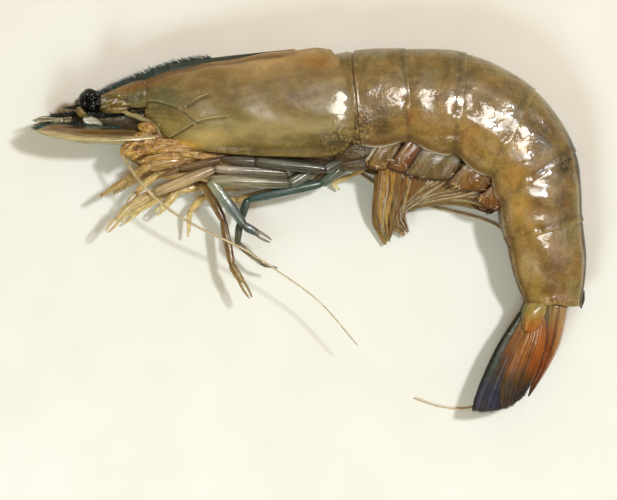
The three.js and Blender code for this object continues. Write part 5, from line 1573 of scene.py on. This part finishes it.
swimShape = {"stemFlat": 0.5, "plateThick": 0.4, "shift": [-1.0, -0.9],
             "rows": 70, "cols": 44, "strands": 26, "strandRows": 46, "strandCols": 10, "bits": 14,
             "flatten": 0.33, "sink": 5.8,  # how the right blades are pressed down on the table
             "russet": [0.0, 1.0, 0.1, 0.6, 1.0], "olive": [0.6, 0.0, 1.0, 0.2, 0.0],
             "fair": [0.15, 0.45, 0.3, 0.35, 0.3]}
# a pale bar beside the first stem
paleBar = [[20.8, 24.6, 4.6, 0.9], [18.2, 21.8, 5.2, 0.95], [15.4, 18.9, 4.8, 0.5]]


# a blade is a thin dark sheet with loose wet strands over it, of uneven length, width and tone
def addBlade(shape, left, right, side, seed, reach, fair):
    draw = np.random.default_rng(seed)
    t = np.linspace(0, reach, 14)
    under = [0, 0, -0.4 * side]
    grid, marks, _ = bladeRings(through(left, t) + under, through(right, t) + under, *fineness["sheet"],
                                0.12, 0.2, start=0.03, end=0.1)
    addRings(shape, onTable(grid), {**marks, "along": 0.4 + 0.5 * marks["along"], "tone": 0.4})
    count = swimShape["strands"]
    for k in range(count):
        place = (k + draw.uniform(0.0, 1.0)) / count
        s = np.linspace(0.12 * draw.uniform(), reach * (1 - 0.3 * draw.uniform() ** 2), 9)
        a, b = through(left, s), through(right, s)
        inside = math.sin(math.pi * place)  # 0 at the blade's edges
        share = place + (0.14 * np.sin(5 * s + 6.3 * draw.uniform()) + 0.3 * draw.normal() * s ** 2) * inside
        line = a + (b - a) * np.clip(share, 0, 1)[:, None]
        line[:, 2] += side * (0.5 * inside + draw.uniform(0.0, 0.6) * np.sin(math.pi * s))
        radius = np.linalg.norm(b - a, axis=1) / count * draw.uniform(0.5, 2.0)
        stops = np.column_stack([line, np.clip(radius, 0.08, 0.55)])
        grid, marks, _ = sweepRings(
            stops, swimShape["strandRows"], swimShape["strandCols"], 0.4, ends=(0.05, 0.3),
            profile=lambda t: 1 + 0.15 * np.sin(9 * t + k))
        kind = draw.uniform()
        addRings(shape, onTable(grid), {
            **marks, "along": 0.36 + 0.6 * marks["along"] * s[-1],
            "tone": draw.uniform(0.6, 1.0) if kind < 0.24 else 0.2 * draw.uniform(),
            "russet": draw.uniform(0.5, 1.0) if 0.24 < kind < 0.44 else 0.0,
            "fair": draw.uniform(0.4, 0.9) if kind > 1 - fair else 0.0})


# crumbled bits of skin round the lower end of a plate
def addBits(shape, left, right, side, seed):
    draw = np.random.default_rng(seed)
    for k in range(swimShape["bits"]):
        t = [draw.uniform(0.72, 1.0)]
        a, b = through(left, t)[0], through(right, t)[0]
        at = a + (b - a) * draw.uniform(-0.05, 1.05) + up * side * draw.uniform(0.4, 0.9)
        way = unit(draw.normal(size=3) * [1, 1, 0.3]) * draw.uniform(0.4, 1.4)
        middle = [*(at + draw.normal(size=3) * 0.25), draw.uniform(0.14, 0.36)]
        stops = [[*(at - way), 0.12], middle, [*(at + way), 0.12]]
        grid, marks, _ = sweepRings(stops, *fineness["bit"], 0.8, ends=(0.3, 0.3))
        marks["along"] = draw.uniform(0.1, 0.6)
        for label, most, power in (("russet", 0.8, 2), ("tone", 0.8, 2), ("fair", 0.7, 3)):
            marks[label] = most * draw.uniform() ** power
        addRings(shape, onTable(grid), marks)


def makeSwimmeret(index, sideName, side, hairs):
    dx, dy = (0, 0) if side > 0 else swimShape["shift"]
    which = index * 2 + (side > 0)

    def moved(stops, height):
        return [[x + dx, y + dy, height(z), *rest] for x, y, z, *rest in stops]

    shape = emptyShape()
    grid, marks, _ = sweepRings(moved(swimStems[index], lambda z: midline + side * (z - 1)),
                                *fineness["swimStem"],
                                swimShape["stemFlat"], ends=(0.02, 0.2), relief=crumpled)
    # the stem, under the shell, is painted dark as shade
    addRings(shape, onTable(grid), {"along": 0.2 * marks["along"], "high": marks["high"], "base": 0.6})
    # the plate leans over its neighbour; its rims are dark, partly its own colour and partly painted shade,
    # and its top, under the shell, is painted dark as shade
    left, right = (moved(swimPlates[index][part], lambda z: midline + side * z) for part in ("left", "right"))
    grid, marks, _ = bladeRings(
        left, right, swimShape["rows"], swimShape["cols"], swimShape["plateThick"], 0.25, 0.8,
        start=0.05, end=0.1,
        relief=lambda t, a: 0.2 * np.sin(3.2 * np.cos(a) + 7 * t + index) * np.abs(np.sin(a))
        + 0.1 * np.sin(8 * np.cos(a) - 9 * t + index))
    t, across = marks["along"], marks["across"]
    addRings(shape, onTable(grid), {
        "plate": 1.0, **marks, "along": t * 0.32, "base": ease(t, 0.55, 0.25),
        "outline": np.clip(ease(np.abs(across), 0.82, 0.97) + ease(t, 0.9, 0.98), 0, 1),
        "russet": swimShape["russet"][index] * (0.55 + 0.45 * ease(across, 0.4, -0.4)),
        "olive": swimShape["olive"][index]})
    if index == 0:
        bar, marks, _ = sweepRings(moved(paleBar, lambda z: midline + side * z), *fineness["paleBar"], 0.6,
                                   ends=(0.1, 0.2))
        addRings(shape, bar, {**marks, "fair": 0.9})
    addBits(shape, left, right, side, 100 + which)
    # the blades hang from the plate towards the table; the inner one is lower and shorter
    press, sink = (1, 0) if side > 0 else (swimShape["flatten"], swimShape["sink"])
    for lower, reach in ((1.4, 0.8), (0.0, 1.0)):
        outerOne = lower == 0
        left, right = (moved(swimBlades[index][part], lambda z: midline + (press * z - sink) - lower)
                       for part in ("left", "right"))
        addBlade(shape, left, right, side, which * 5 + outerOne, reach, swimShape["fair"][index])
        t = np.linspace(0, reach, 60)
        for edge, way in ((through(left, t), 1), (through(right, t), -1)):
            wide = unit(np.cross(np.gradient(edge, axis=0), up))
            edge[:, 2] = np.maximum(edge[:, 2], 0.1)
            fringe(hairs, edge, wide * way, *fringes["swimBlade"],
                   seed=which * 4 + outerOne * 2 + (way > 0))
    name = f"swimmeret_{index + 1}_{sideName}"
    finishMesh(name + "_skin", shape, swimFinish, "swimmeret", name)


def makeSwimmerets(hairs):
    for index in range(len(swimStems)):
        for sideName, side in sides.items():
            makeSwimmeret(index, sideName, side, hairs)
    print("swimmerets done")


tailMid = 7.9
telson = [[68.6, -20.9, 0, 3.6], [67.5, -30.6, -0.2, 2.5], [65.3, -37.0, -0.4, 1.7], [62.6, -43.0, -0.6, 0.8],
          [61.0, -46.4, -0.8, 0.15]]
# left and right edges of the blades, as heights over the tail's midline; the right side mirrors them
fanStem = {"left": [[59.9, -19.9, 3.6], [58.8, -23.0, 4.0], [58.6, -26.8, 3.9]],
           "right": [[66.0, -19.9, 4.0], [65.2, -23.4, 4.2], [63.6, -27.4, 3.6]], "thick": 1.0}
innerBlade = {"left": [[61.6, -24.0, 3.0], [58.4, -30.5, 3.3], [55.8, -36.0, 3.3], [53.8, -41.5, 3.1],
                       [52.8, -46.0, 2.7], [53.0, -49.0, 2.3]],
              "right": [[65.3, -23.0, 2.6], [65.7, -29.6, 2.7], [64.6, -34.7, 2.5], [62.9, -39.8, 2.0],
                        [61.3, -43.2, 1.6], [59.9, -45.6, 1.4]], "thick": 0.42,
              "bulge": 1.4, "ribs": [-0.25, 0.05, 0.32], "lateral": (0.55, 0.3)}
outerBlade = {"left": [[59.4, -21.6, 3.4], [57.0, -25.4, 3.6], [53.0, -31.6, 3.6], [49.7, -38.3, 3.4],
                       [46.9, -45.0, 3.0], [45.6, -49.8, 2.6]],
              "right": [[62.0, -23.6, 3.2], [62.2, -30.0, 1.9], [61.4, -36.0, 1.3], [59.6, -41.5, 1.0],
                        [57.6, -46.0, 0.9], [56.4, -48.6, 0.9]], "thick": 0.5,
              "bulge": 1.3, "ribs": [0.62, 0.3], "lateral": (0.8, 0.6)}


def mirrored(stops, side):
    return [[x, y, tailMid + side * z] for x, y, z in stops]


def bladePair(blade, side, *sizes, **more):
    return bladeRings(mirrored(blade["left"], side), mirrored(blade["right"], side), *sizes, blade["thick"],
                      **more)


def makeTelson():
    shape = emptyShape()
    grid, marks, _ = sweepRings(
        sided(telson, 1, tailMid), *fineness["telson"], 1.15, ends=(0, 0.02),
        relief=lambda t, a: -0.5 * bell(a - 1.75, 0.2) * ease(t, 0.05, 0.3) * ease(t, 1, 0.8)
        + 0.14 * bell(a - 1.35, 0.14) + 0.05 * np.sin(6 * a + 4 * t))
    along, across = marks["along"], marks["across"]
    angle = np.arccos(np.clip(across, -1, 1)) * np.sign(marks["high"])
    toTip = ease(along, 0.98, 0.75)
    # the dark line in the median groove is painted shade, and the dark edge next to the inner blade is a
    # painted shadow
    addRings(shape, grid, {
        **marks, "rib": 0.8 * bell(angle - 1.75, 0.12) * ease(along, 0.1, 0.3)
        + bell(np.abs(across) - 1.0, 0.05) * (across > 0),
        "strip": ease(across, -0.35, 0.0) * ease(along, 0.08, 0.25) * toTip,
        "rim": ease(-across, 0.6, 0.95) * toTip})
    finishMesh("telson_skin", shape, telsonFinish, "tail_fan", "telson")


# lengthwise ribs fan out from the root; the ends are ragged
def makeFanBlade(name, blade, side, finish, slotName, hairs):
    outerOne = blade is outerBlade
    ribs = blade["ribs"]
    grid, marks, line = bladePair(
        blade, side, *fineness["fanBlade"], dome=0.5, bulge=blade["bulge"], end=0.03,
        relief=lambda t, a: (sum(0.16 * bell(np.cos(a) - c, 0.05) - 0.12 * bell(np.cos(a) - c - 0.09, 0.05)
                                 for c in ribs) * ease(t, 0.05, 0.2) * ease(t, 1.0, 0.8)
                             + 0.04 * np.sin(46 * np.cos(a)) * ease(t, 0.3, 0.6) * np.abs(np.sin(a))
                             + 0.1 * np.sin(3 * np.cos(a) + 7 * t)))
    across, t = marks["across"], marks["along"]
    jag = 0.35 * waves(np.stack([across * 9, across * 0, across * 0], axis=-1), 1.6, 61 + outerOne)
    grid = grid + line["along"][-1] * (jag * ease(t, 0.93, 1))[..., None]
    # dark lines in the dips beside the raised ribs, painted shade, and fine dark stripes
    rib = sum(bell(across - c - 0.08, 0.035) for c in ribs) * ease(t, 0.05, 0.2)
    comb = 0.5 * ease(t, 0.45, 0.65) * ease(np.sin(40 * across), 0.3, 1.0)
    shape = emptyShape()
    addRings(shape, grid, {
        **marks, "rib": np.clip(rib + comb, 0, 1),
        "rim": ease(across, 0.93, 0.98) if outerOne else 0.7 * ease(np.abs(across), 0.94, 1.0),
        "lateral": ease(across, 0.5, 0.8) * ease(t, *blade["lateral"]),
        "medial": ease(across, 0.1, -0.5) * ease(t, 0.75, 0.5),
        "violet": ease(across, -0.4, 0.4) * ease(t, 0.6, 0.8) * ease(t, 1.02, 0.86)})
    finishMesh(name + "_blade", shape, finish, slotName, name)
    for edge, way in ((line["left"], 1), (line["right"], -1)):
        start = 0.85 if outerOne and way > 0 else 0.4
        fringe(hairs, edge, line["wide"] * way, 120, 0.5, 1.0, start, 1.0,
               seed=40 + 2 * outerOne + way + side)
    end = grid[-1, :45]  # the upper half of the end ring
    fringe(hairs, end, np.tile(line["along"][-1], (len(end), 1)), *fringes["fanEnd"],
           seed=50 + 2 * outerOne + side)


def makeFan(hairs):
    makeTelson()
    for sideName, side in sides.items():
        shape = emptyShape()
        grid, marks, _ = bladePair(fanStem, side, *fineness["fanStem"], dome=0.9, bulge=1.5, start=0.1,
                                   end=0.2, relief=lambda t, a: 0.14 * np.sin(3 * a + 6 * t))
        across = marks["across"]
        addRings(shape, grid, {**marks, "lateral": ease(across, 0.5, 0.9),
                               "rim": ease(np.abs(across), 0.9, 1)})
        finishMesh(f"fan_stem_{sideName}_skin", shape, stemFinish, "tail_fan", f"fan_stem_{sideName}")
        makeFanBlade(f"fan_inner_{sideName}", innerBlade, side, innerFanFinish, "tail_fan", hairs)
        makeFanBlade(f"fan_outer_{sideName}", outerBlade, side, outerFanFinish, "dark_fan", hairs)
    print("tail fan done")


studio = {
    "floor": ["#f0ebdb", "#f4f0e3"], "floorHalf": 900, "gap": 0.02,
    # the glow is the lamp's white box, seen only as a reflection; the fill is not reflected
    "lamps": {
        "key": {"from": [0.5, 0.25, 1.0], "far": 1600, "size": 150, "power": 16.5, "tint": (0.83, 0.9, 1.0)},
        "glow": {"from": [0.25, 0.2, 1.0], "far": 760, "size": 290, "power": 6.6, "tint": (1.0, 0.96, 0.88),
                 "unseen": "visible_diffuse"},
        "fill": {"from": [-0.42, -1.0, 0.95], "far": 640, "size": 208, "power": 1.95,
                 "tint": (0.62, 0.875, 1.0), "unseen": "visible_glossy"},
    },
    "sky": (1.0, 0.72, 0.42), "skyPower": 0.41,
    "look": [-0.28, -5.56, midline], "cameraFar": 714, "lens": 150,
}


def makeStudio():
    scene = bpy.context.scene
    half = studio["floorHalf"] * mm
    low = -studio["gap"] * mm
    mesh = bpy.data.meshes.new("floor")
    mesh.from_pydata([(x * half, y * half, low) for x, y in ((-1, -1), (1, -1), (1, 1), (-1, 1))], [],
                     [(0, 1, 2, 3)])
    material, tree, shader = newFinish("paper")
    dark, light = studio["floor"]
    fillShader(tree, shader, {
        "Base Color": ramp(tree, grainy(tree, 30, 2.0, seed=1), [(0.3, dark), (0.7, light)]),
        "Roughness": ramp(tree, grainy(tree, 5, 2.0), [(0.3, 0.7), (0.7, 0.85)]), "Specular IOR Level": 0.2})
    mesh.materials.append(material)
    floor = bpy.data.objects.new("floor", mesh)
    scene.collection.objects.link(floor)
    target = np.array(studio["look"])
    for name, lamp in studio["lamps"].items():
        light = bpy.data.lights.new(name, "AREA")
        light.shape = "DISK"
        light.size = lamp["size"] * mm
        light.energy = lamp["power"]
        light.color = lamp["tint"]
        body = bpy.data.objects.new(name, light)
        away = unit(np.array(lamp["from"]))
        body.location = (target + away * lamp["far"]) * mm
        body.rotation_euler = (math.acos(away[2]), 0, math.atan2(away[1], away[0]) + math.pi / 2)
        if "unseen" in lamp:
            setattr(body, lamp["unseen"], False)
        scene.collection.objects.link(body)
    world = bpy.data.worlds.new("room")
    world.use_nodes = True
    sky = world.node_tree.nodes["Background"]
    sky.inputs["Color"].default_value = (*studio["sky"], 1)
    sky.inputs["Strength"].default_value = studio["skyPower"]
    scene.world = world
    camera = bpy.data.objects.new("camera", bpy.data.cameras.new("camera"))
    camera.data.lens = studio["lens"]
    camera.data.sensor_width = 36
    camera.location = (target + up * studio["cameraFar"]) * mm
    scene.collection.objects.link(camera)
    scene.camera = camera
    scene.view_settings.view_transform = "Standard"


# each kind of bristle: material slot, finish, bend, spread, unevenness and seed
bristles = {
    "scale": ("scale", tealHair, 0.2, 0.2, 0.4, 3), "feeler": ("scale", darkHair, 0.3, 0.3, 0.4, 4),
    "leg": ("tan_limb", tanHair, 0.3, 0.35, 0.4, 5), "swimmeret": ("swimmeret", tanHair, 0.3, 0.3, 0.4, 6),
    "fan": ("dark_fan", darkHair, 0.2, 0.25, 0.3, 7),
}
bristleWidth = 0.05


def main():
    hairs = {name: emptyHairs() for name in bristles}
    makeStudio()
    makeCarapace(hairs["scale"])
    makeMouth()
    print("carapace done")
    makeAbdomen(hairs["leg"])
    makeSternum()
    makeHead(hairs)
    makeLimbs(hairs["leg"])
    makeSwimmerets(hairs["swimmeret"])
    makeFan(hairs["fan"])
    for name, (slotName, finish, bend, spread, uneven, seed) in bristles.items():
        growHairs(name + "_bristles", hairs[name], slotName, {
            "Width": bristleWidth, "Bend": bend, "Spread": spread, "Uneven": uneven, "Seed": seed,
            "Finish": finish})


main()
bpy.context.view_layer.update()
